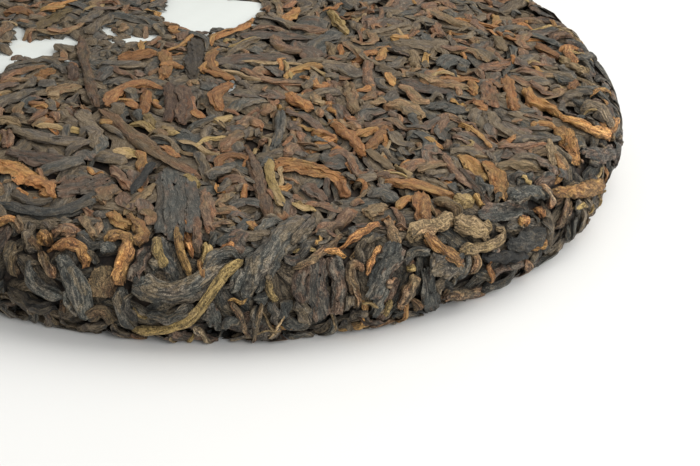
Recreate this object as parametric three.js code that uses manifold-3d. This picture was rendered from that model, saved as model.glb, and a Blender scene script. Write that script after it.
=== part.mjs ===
// A pressed cake of pu-erh tea: a thick round disc of twisted leaf strips, domed on top, rounded at the rim and
// flat underneath, with the hollow that the knot of the pressing cloth leaves in the middle of its underside.
// A square paper ticket is pressed into the top face and shows between the leaves that cross it.
// Millimetres, +Z up, origin on the underside, below the middle of the cake.
import * as THREE from "three";
import { ConvexHull } from "three/addons/math/ConvexHull.js";
import { mergeVertices } from "three/addons/utils/BufferGeometryUtils.js";
import Module from "manifold-3d";

const wasm = await Module();
wasm.setup();

// The cake's own sizes.
const CAKE_RADIUS = 100;
const RIM_THICKNESS = 22; // height where the top face turns over into the rim
const CENTRE_THICKNESS = 27; // height in the middle of the domed top
const RIM_ROUNDING = 10; // how far the rounded rim reaches in from the cake's edge
const HOLLOW_RADIUS = 27; // knot hollow in the underside
const HOLLOW_DEPTH = 10;

// The packed leaves: narrow strips side by side over the whole cake, each with a ridge along it and furrows round
// it. The longest are laid first, then shorter ones wherever there is still room.
const LEAF_LENGTHS = [32, 26, 20, 14, 7, 0];
const LEAF_TRIES = 1500; // places tried for each length
const LEAF_ROOM = 5.2; // nearest that two leaves' middle lines come
const SEED_SPACING = 6.6; // points along a leaf's middle line
const LEAF_BEND = 0.16; // sideways sag of a curved leaf, as a share of its length
const FURROW_DEPTH = [1.7, 2.6]; // furrows between leaves, below the cake's outer surface
const RIDGE_LIFT = [-1, 0.1]; // a leaf's ridge, above the outer surface
const RIDGE_TILT = 0.5; // how much one end of it is higher than the middle
const RIDGE_BUMP = 0.3; // how much each of its points is higher or lower
const CORNER_OFFSET = 0.9; // an outline's corner that stands out less than this is left out

// The largest strips, which lie over the packed leaves.
const STRIP_COUNT = 40;
const STRIP_LENGTH = [26, 38];
const STRIP_WIDTH = [5.5, 8.5];
const STRIP_RINGS = [-0.3, 0.02, 0.33]; // places of the cross-sections, as shares of the length
const STRIP_TAPER = [0.78, 1, 0.74]; // width there, as a share of the full width
const STRIP_FOOT = -3; // long edges at the foot, below the cake's outer surface and inside the leaves
const STRIP_END = -2.4; // pointed ends, where a strip dives under
const STRIP_CROWN = 0.62; // width of its flattened top, as a share of the full width
const STRIP_LIFT = [0, 0.6]; // top, above the outer surface; the press flattens what stands over it
const STRIP_ROLL = 0.4; // how much one side of it is higher than the other
const STRIP_BEND = 0.14;
const GOLDEN_ANGLE = Math.PI * (3 - Math.sqrt(5));

// The paper ticket in the top face.
const TICKET_SIZE = [62, 58];
const TICKET_CENTRE = [-18.5, 5.5];
const TICKET_TURN = THREE.MathUtils.degToRad(-8);
const TICKET_THICKNESS = 0.4;
const TICKET_DEPTH = 2; // its middle, below the cake's outer surface
const TICKET_WAVE = 0.2; // height of its waves
const TICKET_CELLS = [8, 7];
const TICKET_GAP = 0.32; // room round the paper
const COVER_FURROW = 0.9; // depth of the furrows between the leaves that lie over the paper
const COVER_LIFT = [-0.3, 0.2]; // ridges of those leaves
const BARE_DEPTH = 3.2; // the leaves under bare paper lie this deep
// Round patches where the paper is left bare: centre x, centre y, radius.
const BARE_PATCHES = [
  [-3, 22, 11],
  [-38, -4, 7],
  [-46, -15, 5],
  [-17, 3, 2.5],
];

// A repeatable draw from 0 to 1 for purpose k of strip n.
function draw(n, k) {
  const s = Math.sin(n * 12.9898 + k * 78.233) * 43758.5453;
  return s - Math.floor(s);
}

const between = ([low, high], share) => low + (high - low) * share;

// The cake's outline as a curve in the (radius, height) half plane, from the top centre to the underside centre.
function outline() {
  const flatRadius = CAKE_RADIUS - RIM_ROUNDING;
  const points = [];
  for (let i = 0; i < 60; i++) {
    const r = (flatRadius * i) / 60;
    const dome = 1 - (r / flatRadius) ** 2;
    points.push([r, RIM_THICKNESS + (CENTRE_THICKNESS - RIM_THICKNESS) * dome]);
  }
  for (let i = 0; i <= 40; i++) {
    const a = Math.PI / 2 - (Math.PI * i) / 40;
    const height = (RIM_THICKNESS / 2) * (1 + Math.sin(a));
    points.push([flatRadius + RIM_ROUNDING * Math.cos(a), height]);
  }
  for (let i = 1; i <= 60; i++) {
    const r = flatRadius * (1 - i / 60);
    const inside = r < HOLLOW_RADIUS ? (1 + Math.cos((Math.PI * r) / HOLLOW_RADIUS)) / 2 : 0;
    points.push([r, HOLLOW_DEPTH * inside]);
  }
  return points;
}

// The same outline with its running length, its normal, and the cake's area up to each point.
function measuredOutline() {
  const points = outline();
  const rows = [];
  let length = 0;
  let area = 0;
  points.forEach(([r, z], i) => {
    const [r0, z0] = points[Math.max(i - 1, 0)];
    const [r1, z1] = points[Math.min(i + 1, points.length - 1)];
    const step = Math.hypot(r - r0, z - z0);
    length += step;
    area += Math.PI * (r + r0) * step;
    const span = Math.hypot(r1 - r0, z1 - z0);
    rows.push({ length, area, r, z, normalR: -(z1 - z0) / span, normalZ: (r1 - r0) / span });
  });
  rows[0].normalR = 0;
  rows[0].normalZ = 1;
  rows[rows.length - 1].normalR = 0;
  rows[rows.length - 1].normalZ = -1;
  return rows;
}

const OUTLINE = measuredOutline();
const WHOLE_LENGTH = OUTLINE[OUTLINE.length - 1].length;
const WHOLE_AREA = OUTLINE[OUTLINE.length - 1].area;

// The outline's row at a value of one of its keys, worked out between two neighbours.
function outlineAt(key, value) {
  const last = OUTLINE.length - 1;
  let i = 1;
  while (i < last && OUTLINE[i][key] < value) i++;
  const a = OUTLINE[i - 1];
  const b = OUTLINE[i];
  const t = THREE.MathUtils.clamp((value - a[key]) / (b[key] - a[key]), 0, 1);
  const row = {};
  for (const k of Object.keys(a)) row[k] = a[k] + (b[k] - a[k]) * t;
  return row;
}

// A point given on a flat map of one face of the cake: distance and direction from that face's centre are the
// distance and direction along its surface, and lift is the height above it. The map of the underside is turned
// over, so that left and right stay the same seen from outside.
function onCake(side, u, v, lift) {
  const away = Math.hypot(u, v);
  const row = outlineAt("length", side > 0 ? away : WHOLE_LENGTH - away);
  const around = side * Math.atan2(v, u);
  const r = row.r + row.normalR * lift;
  return new THREE.Vector3(r * Math.cos(around), r * Math.sin(around), row.z + row.normalZ * lift);
}

// A mesh's geometry as a manifold solid.
function solidFrom(geometry) {
  const bare = geometry.clone();
  bare.deleteAttribute("normal");
  bare.deleteAttribute("uv");
  const merged = mergeVertices(bare, 1e-4);
  return new wasm.Manifold(
    new wasm.Mesh({
      numProp: 3,
      vertProperties: new Float32Array(merged.attributes.position.array),
      triVerts: new Uint32Array(merged.index.array),
    }),
  );
}

// A manifold solid as a mesh's geometry.
function geometryFrom(solid) {
  const made = solid.getMesh();
  const geometry = new THREE.BufferGeometry();
  geometry.setAttribute("position", new THREE.BufferAttribute(new Float32Array(made.vertProperties), 3));
  geometry.setIndex(new THREE.BufferAttribute(new Uint32Array(made.triVerts), 1));
  geometry.computeVertexNormals();
  return geometry;
}

// The cake's surface is also mapped to a unit ball, angle for angle, so that nearness on the ball is nearness on
// the cake. BALL_TILTS holds, for each row of the outline, the angle from the ball's north pole.
const BALL_TILTS = ballTilts();

function ballTilts() {
  const equator = OUTLINE.findIndex((row) => row.z <= RIM_THICKNESS / 2);
  const spread = new Array(OUTLINE.length).fill(0);
  for (let i = 1; i < OUTLINE.length; i++) {
    const [a, b] = [OUTLINE[i - 1], OUTLINE[i]];
    spread[i] = spread[i - 1] + (b.length - a.length) / Math.max((a.r + b.r) / 2, 1e-3);
  }
  const tilts = spread.map((value) => 2 * Math.atan(Math.exp(value - spread[equator])));
  tilts[0] = 0;
  tilts[tilts.length - 1] = Math.PI;
  return tilts;
}

// A value looked up in one rising list and read off another.
function lookUp(from, to, value) {
  let i = 1;
  while (i < from.length - 1 && from[i] < value) i++;
  const t = THREE.MathUtils.clamp((value - from[i - 1]) / (from[i] - from[i - 1]), 0, 1);
  return to[i - 1] + (to[i] - to[i - 1]) * t;
}

const LENGTHS = OUTLINE.map((row) => row.length);

// From a face's flat map to the ball, and from the ball to the flat map of that face.
function toBall(side, u, v) {
  const away = Math.hypot(u, v);
  const tilt = lookUp(LENGTHS, BALL_TILTS, side > 0 ? away : WHOLE_LENGTH - away);
  return new THREE.Vector3().setFromSphericalCoords(1, tilt, side * Math.atan2(v, u) + Math.PI / 2);
}

function fromBall(side, p) {
  const length = lookUp(BALL_TILTS, LENGTHS, Math.acos(THREE.MathUtils.clamp(p.y, -1, 1)));
  const away = side > 0 ? length : WHOLE_LENGTH - length;
  const around = side * (Math.atan2(p.x, p.z) - Math.PI / 2);
  return [away * Math.cos(around), away * Math.sin(around)];
}

// Where leaf n of so many lies: they follow a spiral that gives each the same area, first over the top face and
// half the rim, then over the underside.
function leafPlace(n, count, key) {
  const row = outlineAt("area", (WHOLE_AREA * (n + draw(n, key))) / count);
  const side = row.length < WHOLE_LENGTH / 2 ? 1 : -1;
  const away = side > 0 ? row.length : WHOLE_LENGTH - row.length;
  const around = n * GOLDEN_ANGLE;
  return { side, u: away * Math.cos(around), v: away * Math.sin(around) };
}

// The point at share t of a bent leaf's length, and across it, on the flat map.
function alongLeaf({ u, v, turn, length, bend }, t, across = 0) {
  const along = t * length;
  const sideways = across + bend * length * (4 * t * t - 0.3);
  return [
    u + along * Math.cos(turn) - sideways * Math.sin(turn),
    v + along * Math.sin(turn) + sideways * Math.cos(turn),
  ];
}

// Points along every leaf's middle line. A leaf goes where it stays clear of all those laid before it.
function leafSeeds() {
  const seeds = [];
  LEAF_LENGTHS.forEach((length, size) => {
    const steps = Math.round(length / SEED_SPACING);
    for (let n = 0; n < LEAF_TRIES; n++) {
      const key = n + LEAF_TRIES * size;
      const leaf = {
        ...leafPlace(n, LEAF_TRIES, 30 + size),
        length,
        turn: 2 * Math.PI * draw(key, 2),
        bend: LEAF_BEND * (2 * draw(key, 7) - 1),
      };
      const points = [];
      for (let i = 0; i <= steps; i++) {
        const t = steps ? i / steps - 0.5 : 0;
        const [u, v] = alongLeaf(leaf, t);
        const bare = leaf.side > 0 ? barePatchAt(u, v) : -1;
        const place = onCake(leaf.side, u, v, 0);
        const ball = toBall(leaf.side, u, v);
        points.push({ u, v, t, key, side: leaf.side, leaf: bare < 0 ? key : -1 - bare, place, ball });
      }
      if (points.every((p) => seeds.every((q) => p.place.distanceTo(q.place) > LEAF_ROOM))) seeds.push(...points);
    }
  });
  return seeds;
}

// Every leaf's own ground. A corner of it is a face of the seeds' convex hull: on a ball, that face's normal is
// the point furthest from, and equally near to, its three seeds. A patch is a leaf's seeds and the loop round them;
// each stop of the loop is a corner with the seeds that the outline passes there.
function leafPatches() {
  const seeds = leafSeeds();
  const seedAt = new Map(seeds.map((seed) => [seed.ball, seed]));
  const hull = new ConvexHull().setFromPoints(seeds.map((seed) => seed.ball));
  const cornerOf = new Map(hull.faces.map((face, i) => [face, i]));
  const group = new Map(seeds.map((seed) => [seed, seed]));
  const root = (seed) => {
    while (group.get(seed) !== seed) seed = group.get(seed);
    return seed;
  };
  const edges = [];
  const trios = [];
  for (const face of hull.faces) {
    const trio = [];
    let edge = face.edge;
    do {
      const from = seedAt.get(edge.tail().point);
      const to = seedAt.get(edge.head().point);
      edges.push({ from, to, corner: cornerOf.get(face), before: cornerOf.get(edge.twin.face) });
      trio.push(from);
      if (from.leaf === to.leaf && from.side === to.side) group.set(root(from), root(to));
      edge = edge.next;
    } while (edge !== face.edge);
    if (trio.length !== 3) throw new Error("four seeds lie on one circle");
    trios.push(trio);
  }
  const steps = new Map();
  for (const { from, to, corner, before } of edges) {
    if (root(from) === root(to)) continue;
    if (!steps.has(root(from))) steps.set(root(from), new Map());
    steps.get(root(from)).set(before, { corner, owner: from });
  }
  const loops = [...steps.values()].map((step) => {
    const loop = [];
    const start = step.keys().next().value;
    let at = start;
    do {
      const { corner, owner } = step.get(at);
      const after = step.get(corner).owner;
      loop.push({ corner, passed: owner === after ? [owner] : [owner, after] });
      at = corner;
    } while (at !== start);
    if (loop.length !== step.size) throw new Error("a leaf encloses another");
    return loop;
  });
  const corners = hull.faces.map((face) => face.normal.clone().normalize());
  const inside = trios.filter(([a, b, c]) => root(a) === root(b) && root(b) === root(c));
  return { seeds, loops, corners, inside };
}

// Takes out of the loops the corners that hardly bend an outline shared by two leaves.
function dropPlainCorners(loops, corners) {
  const users = corners.map(() => []);
  for (const loop of loops) for (const stop of loop) users[stop.corner].push(loop);
  const where = corners.map((p) => pointAt(p, 0));
  users.forEach((both, corner) => {
    if (both.length !== 2 || both.some((loop) => loop.length <= 5)) return;
    const [loop] = both;
    const i = loop.findIndex((stop) => stop.corner === corner);
    const before = where[loop.at(i - 1).corner];
    const after = where[loop[(i + 1) % loop.length].corner];
    const nearest = new THREE.Line3(before, after).closestPointToPoint(where[corner], true, new THREE.Vector3());
    if (nearest.distanceTo(where[corner]) > CORNER_OFFSET) return;
    for (const used of both) {
      const k = used.findIndex((stop) => stop.corner === corner);
      used.at(k - 1).passed.push(...used[k].passed.slice(1));
      used.splice(k, 1);
    }
  });
}

// The point of the cake for a point of the ball, raised by a lift.
function pointAt(p, lift) {
  const side = p.y > 0 ? 1 : -1;
  return onCake(side, ...fromBall(side, p), lift);
}

// How high a leaf's ridge stands at one of its seeds.
function ridgeLift({ leaf, key, side, u, v, t }) {
  if (leaf < 0) return -BARE_DEPTH;
  const range = side > 0 && onTicket(u, v, 3) ? COVER_LIFT : RIDGE_LIFT;
  const tilt = RIDGE_TILT * (2 * draw(key, 6) - 1) * 2 * t;
  return Math.min(range[1], between(range, draw(key, 5)) + tilt + RIDGE_BUMP * (2 * draw(key + t, 9) - 1));
}

// The packed leaves as one closed solid: furrows along the outlines, and each leaf rising to its ridge.
function packedLeaves() {
  const { seeds, loops, corners, inside } = leafPatches();
  dropPlainCorners(loops, corners);
  const points = [];
  const numbers = new Map();
  const number = (thing, place) => {
    if (!numbers.has(thing)) numbers.set(thing, points.push(place()) - 1);
    return numbers.get(thing);
  };
  const ridge = (seed) => number(seed, () => onCake(seed.side, seed.u, seed.v, ridgeLift(seed)));
  const furrow = (corner) => {
    const p = corners[corner];
    const covers = p.y > 0 && onTicket(...fromBall(1, p), 3);
    return number(corner, () => pointAt(p, covers ? -COVER_FURROW : -between(FURROW_DEPTH, draw(corner, 4))));
  };
  const faces = [];
  for (const loop of loops) {
    loop.forEach(({ corner, passed }, i) => {
      const after = loop[(i + 1) % loop.length].corner;
      faces.push(furrow(corner), furrow(after), ridge(passed.at(-1)));
      for (let k = 1; k < passed.length; k++) faces.push(furrow(corner), ridge(passed[k]), ridge(passed[k - 1]));
    });
  }
  for (const trio of inside) faces.push(...trio.map(ridge));
  if (numbers.size < seeds.length) throw new Error("a seed is left out");
  const geometry = new THREE.BufferGeometry().setFromPoints(points);
  geometry.setIndex(faces);
  return solidFrom(geometry);
}

// Rings of points joined into a closed tube with a pointed nose and tail.
function closedTube(nose, rings, tail) {
  const around = rings[0].length;
  const points = [nose, ...rings.flat(), tail];
  const last = points.length - 1;
  const faces = [];
  for (let j = 0; j < around; j++) {
    const k = (j + 1) % around;
    faces.push(0, 1 + k, 1 + j);
    for (let i = 0; i < rings.length - 1; i++) {
      const a = 1 + i * around;
      const b = a + around;
      faces.push(a + j, a + k, b + k, a + j, b + k, b + j);
    }
    const end = 1 + (rings.length - 1) * around;
    faces.push(last, end + j, end + k);
  }
  const geometry = new THREE.BufferGeometry().setFromPoints(points);
  geometry.setIndex(faces);
  return geometry;
}

// Whether a point of the top map lies on the ticket, with a margin.
function onTicket(u, v, margin) {
  const du = u - TICKET_CENTRE[0];
  const dv = v - TICKET_CENTRE[1];
  const along = du * Math.cos(TICKET_TURN) + dv * Math.sin(TICKET_TURN);
  const across = dv * Math.cos(TICKET_TURN) - du * Math.sin(TICKET_TURN);
  return Math.abs(along) < TICKET_SIZE[0] / 2 + margin && Math.abs(across) < TICKET_SIZE[1] / 2 + margin;
}

// The number of the bare patch that holds a point of the top map, or -1.
function barePatchAt(u, v, margin = 0) {
  return onTicket(u, v, 0) ? BARE_PATCHES.findIndex(([x, y, r]) => Math.hypot(u - x, v - y) < r + margin) : -1;
}

// One large strip: tapered and flat-topped, bent a little sideways and laid along the surface. Gives null where
// it would cover a patch of bare paper.
function leafStrip(n) {
  const key = n + 0.5;
  const leaf = {
    ...leafPlace(n, STRIP_COUNT, 11),
    length: between(STRIP_LENGTH, draw(key, 3)),
    turn: Math.PI * draw(key, 2),
    bend: STRIP_BEND * (2 * draw(key, 7) - 1),
  };
  const halfWidth = between(STRIP_WIDTH, draw(key, 4)) / 2;
  const lift = between(STRIP_LIFT, draw(key, 5));
  const roll = STRIP_ROLL * (draw(key, 6) - 0.5);
  const place = (t, across, height) => onCake(leaf.side, ...alongLeaf(leaf, t, across), height);
  for (let t = -0.5; t <= 0.5; t += 0.1) {
    if (leaf.side > 0 && barePatchAt(...alongLeaf(leaf, t), halfWidth) >= 0) return null;
  }
  const rings = STRIP_RINGS.map((t, i) => {
    const half = halfWidth * STRIP_TAPER[i];
    return [
      place(t, -half, STRIP_FOOT),
      place(t, half, STRIP_FOOT),
      place(t, STRIP_CROWN * half, lift + roll),
      place(t, -STRIP_CROWN * half, lift - roll),
    ];
  });
  return solidFrom(closedTube(place(-0.5, 0, STRIP_END), rings, place(0.5, 0, STRIP_END)));
}

// A thin wavy sheet over the ticket's square, both faces split alike, grown by a margin on every side.
function ticketSheet(margin) {
  const [columns, rows] = TICKET_CELLS;
  const half = TICKET_THICKNESS / 2 + margin;
  const at = (i, j, face) => {
    const along = (i / columns - 0.5) * (TICKET_SIZE[0] + 2 * margin);
    const across = (j / rows - 0.5) * (TICKET_SIZE[1] + 2 * margin);
    const u = TICKET_CENTRE[0] + along * Math.cos(TICKET_TURN) - across * Math.sin(TICKET_TURN);
    const v = TICKET_CENTRE[1] + along * Math.sin(TICKET_TURN) + across * Math.cos(TICKET_TURN);
    const wave = TICKET_WAVE * Math.sin(along * 0.17 + 0.6) * Math.cos(across * 0.14 - 0.4);
    return onCake(1, u, v, wave - TICKET_DEPTH + face * half);
  };
  const points = [];
  const index = (i, j, face) => (face > 0 ? 0 : (columns + 1) * (rows + 1)) + j * (columns + 1) + i;
  for (const face of [1, -1]) {
    for (let j = 0; j <= rows; j++) for (let i = 0; i <= columns; i++) points.push(at(i, j, face));
  }
  const faces = [];
  const quad = (a, b, c, d) => faces.push(a, b, c, a, c, d);
  for (let j = 0; j < rows; j++) {
    for (let i = 0; i < columns; i++) {
      faces.push(index(i, j, 1), index(i + 1, j, 1), index(i + 1, j + 1, 1));
      faces.push(index(i, j, 1), index(i + 1, j + 1, 1), index(i, j + 1, 1));
      faces.push(index(i, j, -1), index(i + 1, j + 1, -1), index(i + 1, j, -1));
      faces.push(index(i, j, -1), index(i, j + 1, -1), index(i + 1, j + 1, -1));
    }
  }
  for (let i = 0; i < columns; i++) {
    quad(index(i, 0, 1), index(i, 0, -1), index(i + 1, 0, -1), index(i + 1, 0, 1));
    quad(index(i, rows, 1), index(i + 1, rows, 1), index(i + 1, rows, -1), index(i, rows, -1));
  }
  for (let j = 0; j < rows; j++) {
    quad(index(0, j, 1), index(0, j + 1, 1), index(0, j + 1, -1), index(0, j, -1));
    quad(index(columns, j, 1), index(columns, j, -1), index(columns, j + 1, -1), index(columns, j + 1, 1));
  }
  const geometry = new THREE.BufferGeometry().setFromPoints(points);
  geometry.setIndex(faces);
  return geometry;
}

// What the press cuts off flat: everything below the surface that the cake stands on.
function pressPlate() {
  const size = 3 * CAKE_RADIUS;
  const plate = new THREE.BoxGeometry(size, size, size);
  plate.translate(0, 0, -size / 2);
  return solidFrom(plate);
}

// The cake: packed leaves and large strips in one solid, with the ticket's slot cut out and loose scraps dropped.
function teaCake() {
  let cake = packedLeaves();
  for (let n = 0; n < STRIP_COUNT; n++) {
    const strip = leafStrip(n);
    if (strip) cake = cake.add(strip);
  }
  cake = cake.subtract(solidFrom(ticketSheet(TICKET_GAP))).subtract(pressPlate());
  const pieces = cake.decompose().sort((a, b) => b.volume() - a.volume());
  return geometryFrom(pieces[0]);
}

const cake = new THREE.Mesh(
  teaCake(),
  new THREE.MeshStandardMaterial({ color: 0x4a3c30, roughness: 0.75, metalness: 0 }),
);
cake.name = "tea_cake";

const ticket = new THREE.Mesh(
  ticketSheet(0),
  new THREE.MeshStandardMaterial({ color: 0xeeeee8, roughness: 0.85, metalness: 0 }),
);
ticket.name = "paper_ticket";

// The whole is moved so that the origin comes under the middle of its box.
const box = new THREE.Box3().setFromObject(cake);
const middle = box.getCenter(new THREE.Vector3());
const group = new THREE.Group();
group.add(cake, ticket);
group.position.set(-middle.x, -middle.y, -box.min.z);

export default group;
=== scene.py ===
# A pressed cake of pu-erh tea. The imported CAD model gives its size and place; this script covers a dark core
# with leaves: rolled, folded, broad and golden ones and stalks. Each form is modelled a few times and laid on
# the cake leaf by leaf, bent, twisted and pressed. A bare paper ticket lies between them. Metres, +Z up.
import math
from typing import NamedTuple

import bmesh
import bpy
import numpy as np
from mathutils import Matrix, Vector


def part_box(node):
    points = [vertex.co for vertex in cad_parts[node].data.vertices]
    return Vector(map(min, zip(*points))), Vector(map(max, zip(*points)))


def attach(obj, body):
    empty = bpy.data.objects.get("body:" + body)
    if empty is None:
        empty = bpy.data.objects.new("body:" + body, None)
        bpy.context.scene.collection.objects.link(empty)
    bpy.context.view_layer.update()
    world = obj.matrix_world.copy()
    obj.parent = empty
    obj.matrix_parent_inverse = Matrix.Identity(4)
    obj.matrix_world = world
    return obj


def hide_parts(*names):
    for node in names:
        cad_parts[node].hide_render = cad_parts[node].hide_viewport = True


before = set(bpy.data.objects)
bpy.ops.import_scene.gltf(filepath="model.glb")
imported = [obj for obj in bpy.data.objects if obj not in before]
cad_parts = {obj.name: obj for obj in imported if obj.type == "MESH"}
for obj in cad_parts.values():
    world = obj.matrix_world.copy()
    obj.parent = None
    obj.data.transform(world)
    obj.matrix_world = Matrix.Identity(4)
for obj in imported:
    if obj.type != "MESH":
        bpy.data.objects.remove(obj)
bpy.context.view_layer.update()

bl_info = {
    "name": "Pressed tea cake",
    "version": (1, 0, 0),
    "blender": (4, 5, 0),
    "location": "3D View > Sidebar > Tea cake",
    "description": "Covers the packed model of a pressed tea cake with its leaves",
    "category": "Object",
}

MM = 0.001
BODY = "root"
SEED = 357
GOLDEN_ANGLE = math.pi * (3 - math.sqrt(5))

# The cake's sizes that the frame gives, and its shares that the frame can't.
cake_low, cake_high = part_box("tea_cake")
ticket_low, ticket_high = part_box("paper_ticket")
CAKE_RADIUS = (cake_high.x - cake_low.x) / 2
CENTRE_THICKNESS = cake_high.z - 0.1 * MM
RIM_THICKNESS = 22 * MM
RIM_ROUNDING = 10 * MM
HOLLOW_RADIUS = 27 * MM
HOLLOW_DEPTH = 10 * MM
FACE_RINGS = 60  # points of the outline across each face
RIM_RINGS = 41  # points of the outline round the rim

# The paper ticket, at the same place as its CAD node.
TICKET_SIZE = (62 * MM, 58 * MM)
TICKET_TURN = math.radians(-8)
TICKET_CENTRE = ((ticket_low.x + ticket_high.x) / 2, (ticket_low.y + ticket_high.y) / 2)
TICKET_DEPTH = 2 * MM
TICKET_WAVE = 0.2 * MM
TICKET_GRID = (44, 40)
PAPER_THICKNESS = 0.25 * MM
PAPER_REST = 0.2 * MM  # how far above the paper's middle leaves rest on it
PAPER_CREASE = math.radians(40)
# Round patches where the paper is left bare: centre x and y, and radius, in mm.
BARE_PATCHES = (
    (-1, 18.2, 10.8), (0.5, 28, 12), (-42.8, -3.2, 3.9), (-37.2, -2, 3.2), (-33.4, -1.2, 3.4),
    (-38.8, -8.8, 3.5), (-47.4, -13.6, 4.4), (-20.3, 0.5, 1.8), (-18, 1, 2.2), (-15.5, 1.6, 2.2),
    (-13.2, 2.4, 1.8), (-23.4, 5.2, 1.8), (-45.1, 5, 1.6),
)

# The camera that took the photo, worked out from the cake's outline in it. Its picture is 700 by 466 pixels.
PICTURE_SIZE = (700, 466)
CAMERA_TARGET = Vector((37.2, -61.1, 10)) * MM
CAMERA_DISTANCE = 500 * MM
CAMERA_ELEVATION = math.radians(28.2)
CAMERA_ROLL = math.radians(3.4)
FOCAL_PIXELS = 2290
SENSOR_WIDTH = 36
SIGHT_RANGE = (0.7, 1.4)  # where along a line of sight the cake is looked for, in camera distances
SIGHT_STEPS = 2800

# How the leaves are laid.
FEELER_COUNT = 130000
FEELER_CELL = 4 * MM
SPINE_NODES = 15
CORE_DEPTH = 2.8 * MM
CORE_BUMP = 0.3 * MM
CORE_SEGMENTS = 128
CORE_RINGS = 80
# Leaves may reach a ceiling above the form, and what is pressed into the room above it flattens out.
TOP_CEILING = 0.1 * MM
RIM_CEILING = 0.9 * MM
TOP_PRESS = 0.45 * MM
RIM_PRESS = 1.0 * MM
# Distances from the middle of a face, along the surface, between which it turns into the rim.
RIM_START = 84 * MM
RIM_WHOLE = 96 * MM
RIM_SKIPPED = 0.45  # of the small leaves, left out at the rim
FLOOR_START = 0.5 * MM  # leaves are pressed flat against the floor from this height down
SUNK_DEPTH = 3 * MM  # leaves this deep between the others get the most painted shade, or on the faces the most painted light
LEAF_CREASE = math.radians(58)
PIECE_TRIANGLES = 194000

# The stage.
FLOOR_SIZE = 6
LIGHT_AIM = Vector((0.02, -0.05, 0.01))
ROOM_COLOUR = (1, 0.99, 0.97, 1)
ROOM_STRENGTH = 0.65


def srgb(red, green, blue):
    """A colour given as three numbers up to 255, as Blender's linear colour."""
    channels = [c / 255 for c in (red, green, blue)]
    return tuple(c / 12.92 if c <= 0.04045 else ((c + 0.055) / 1.055) ** 2.4 for c in channels)


class CakeSizes(bpy.types.PropertyGroup):
    """The cake's outline."""

    cake_radius: bpy.props.FloatProperty(
        name="Radius", description="Radius of the cake", default=CAKE_RADIUS,
        subtype="DISTANCE", unit="LENGTH")
    centre_thickness: bpy.props.FloatProperty(
        name="Centre", description="Height in the middle of the dome", default=CENTRE_THICKNESS,
        subtype="DISTANCE", unit="LENGTH")
    rim_thickness: bpy.props.FloatProperty(
        name="Rim", description="Height where the top turns over into the rim", default=RIM_THICKNESS,
        subtype="DISTANCE", unit="LENGTH")
    rim_rounding: bpy.props.FloatProperty(
        name="Rounding", description="How far the round rim reaches in", default=RIM_ROUNDING,
        subtype="DISTANCE", unit="LENGTH")
    hollow_radius: bpy.props.FloatProperty(
        name="Hollow radius", description="Radius of the knot hollow underneath", default=HOLLOW_RADIUS,
        subtype="DISTANCE", unit="LENGTH")
    hollow_depth: bpy.props.FloatProperty(
        name="Hollow depth", description="Depth of the knot hollow underneath", default=HOLLOW_DEPTH,
        subtype="DISTANCE", unit="LENGTH")


class CakeColours(bpy.types.PropertyGroup):
    """The colours of leaves, paper and floor."""

    slate_leaf: bpy.props.FloatVectorProperty(
        name="Slate leaf", description="Dark leaf, cool", default=srgb(71, 73, 68), subtype="COLOR")
    umber_leaf: bpy.props.FloatVectorProperty(
        name="Umber leaf", description="Dark leaf, warm", default=srgb(90, 78, 65), subtype="COLOR")
    dust: bpy.props.FloatVectorProperty(
        name="Dust", description="Worn ridges of dark leaves", default=srgb(128, 117, 100), subtype="COLOR")
    brown_leaf: bpy.props.FloatVectorProperty(
        name="Brown leaf", description="Mid-brown leaf", default=srgb(128, 108, 76), subtype="COLOR")
    rust_leaf: bpy.props.FloatVectorProperty(
        name="Rust leaf", description="Reddish-brown leaf", default=srgb(132, 90, 60), subtype="COLOR")
    gold_bud: bpy.props.FloatVectorProperty(
        name="Golden bud", description="Leaf bud", default=srgb(168, 132, 76), subtype="COLOR")
    orange_bud: bpy.props.FloatVectorProperty(
        name="Orange bud", description="Redder leaf bud", default=srgb(164, 110, 61), subtype="COLOR")
    stalk: bpy.props.FloatVectorProperty(
        name="Stalk", description="Stalk", default=srgb(166, 140, 84), subtype="COLOR")
    tan: bpy.props.FloatVectorProperty(
        name="Tan", description="Stalk, less yellow", default=srgb(160, 134, 98), subtype="COLOR")
    paper: bpy.props.FloatVectorProperty(
        name="Paper", description="Ticket", default=srgb(213, 217, 213), subtype="COLOR")
    floor: bpy.props.FloatVectorProperty(
        name="Floor", description="Floor", default=srgb(232, 232, 230), subtype="COLOR")


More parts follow.
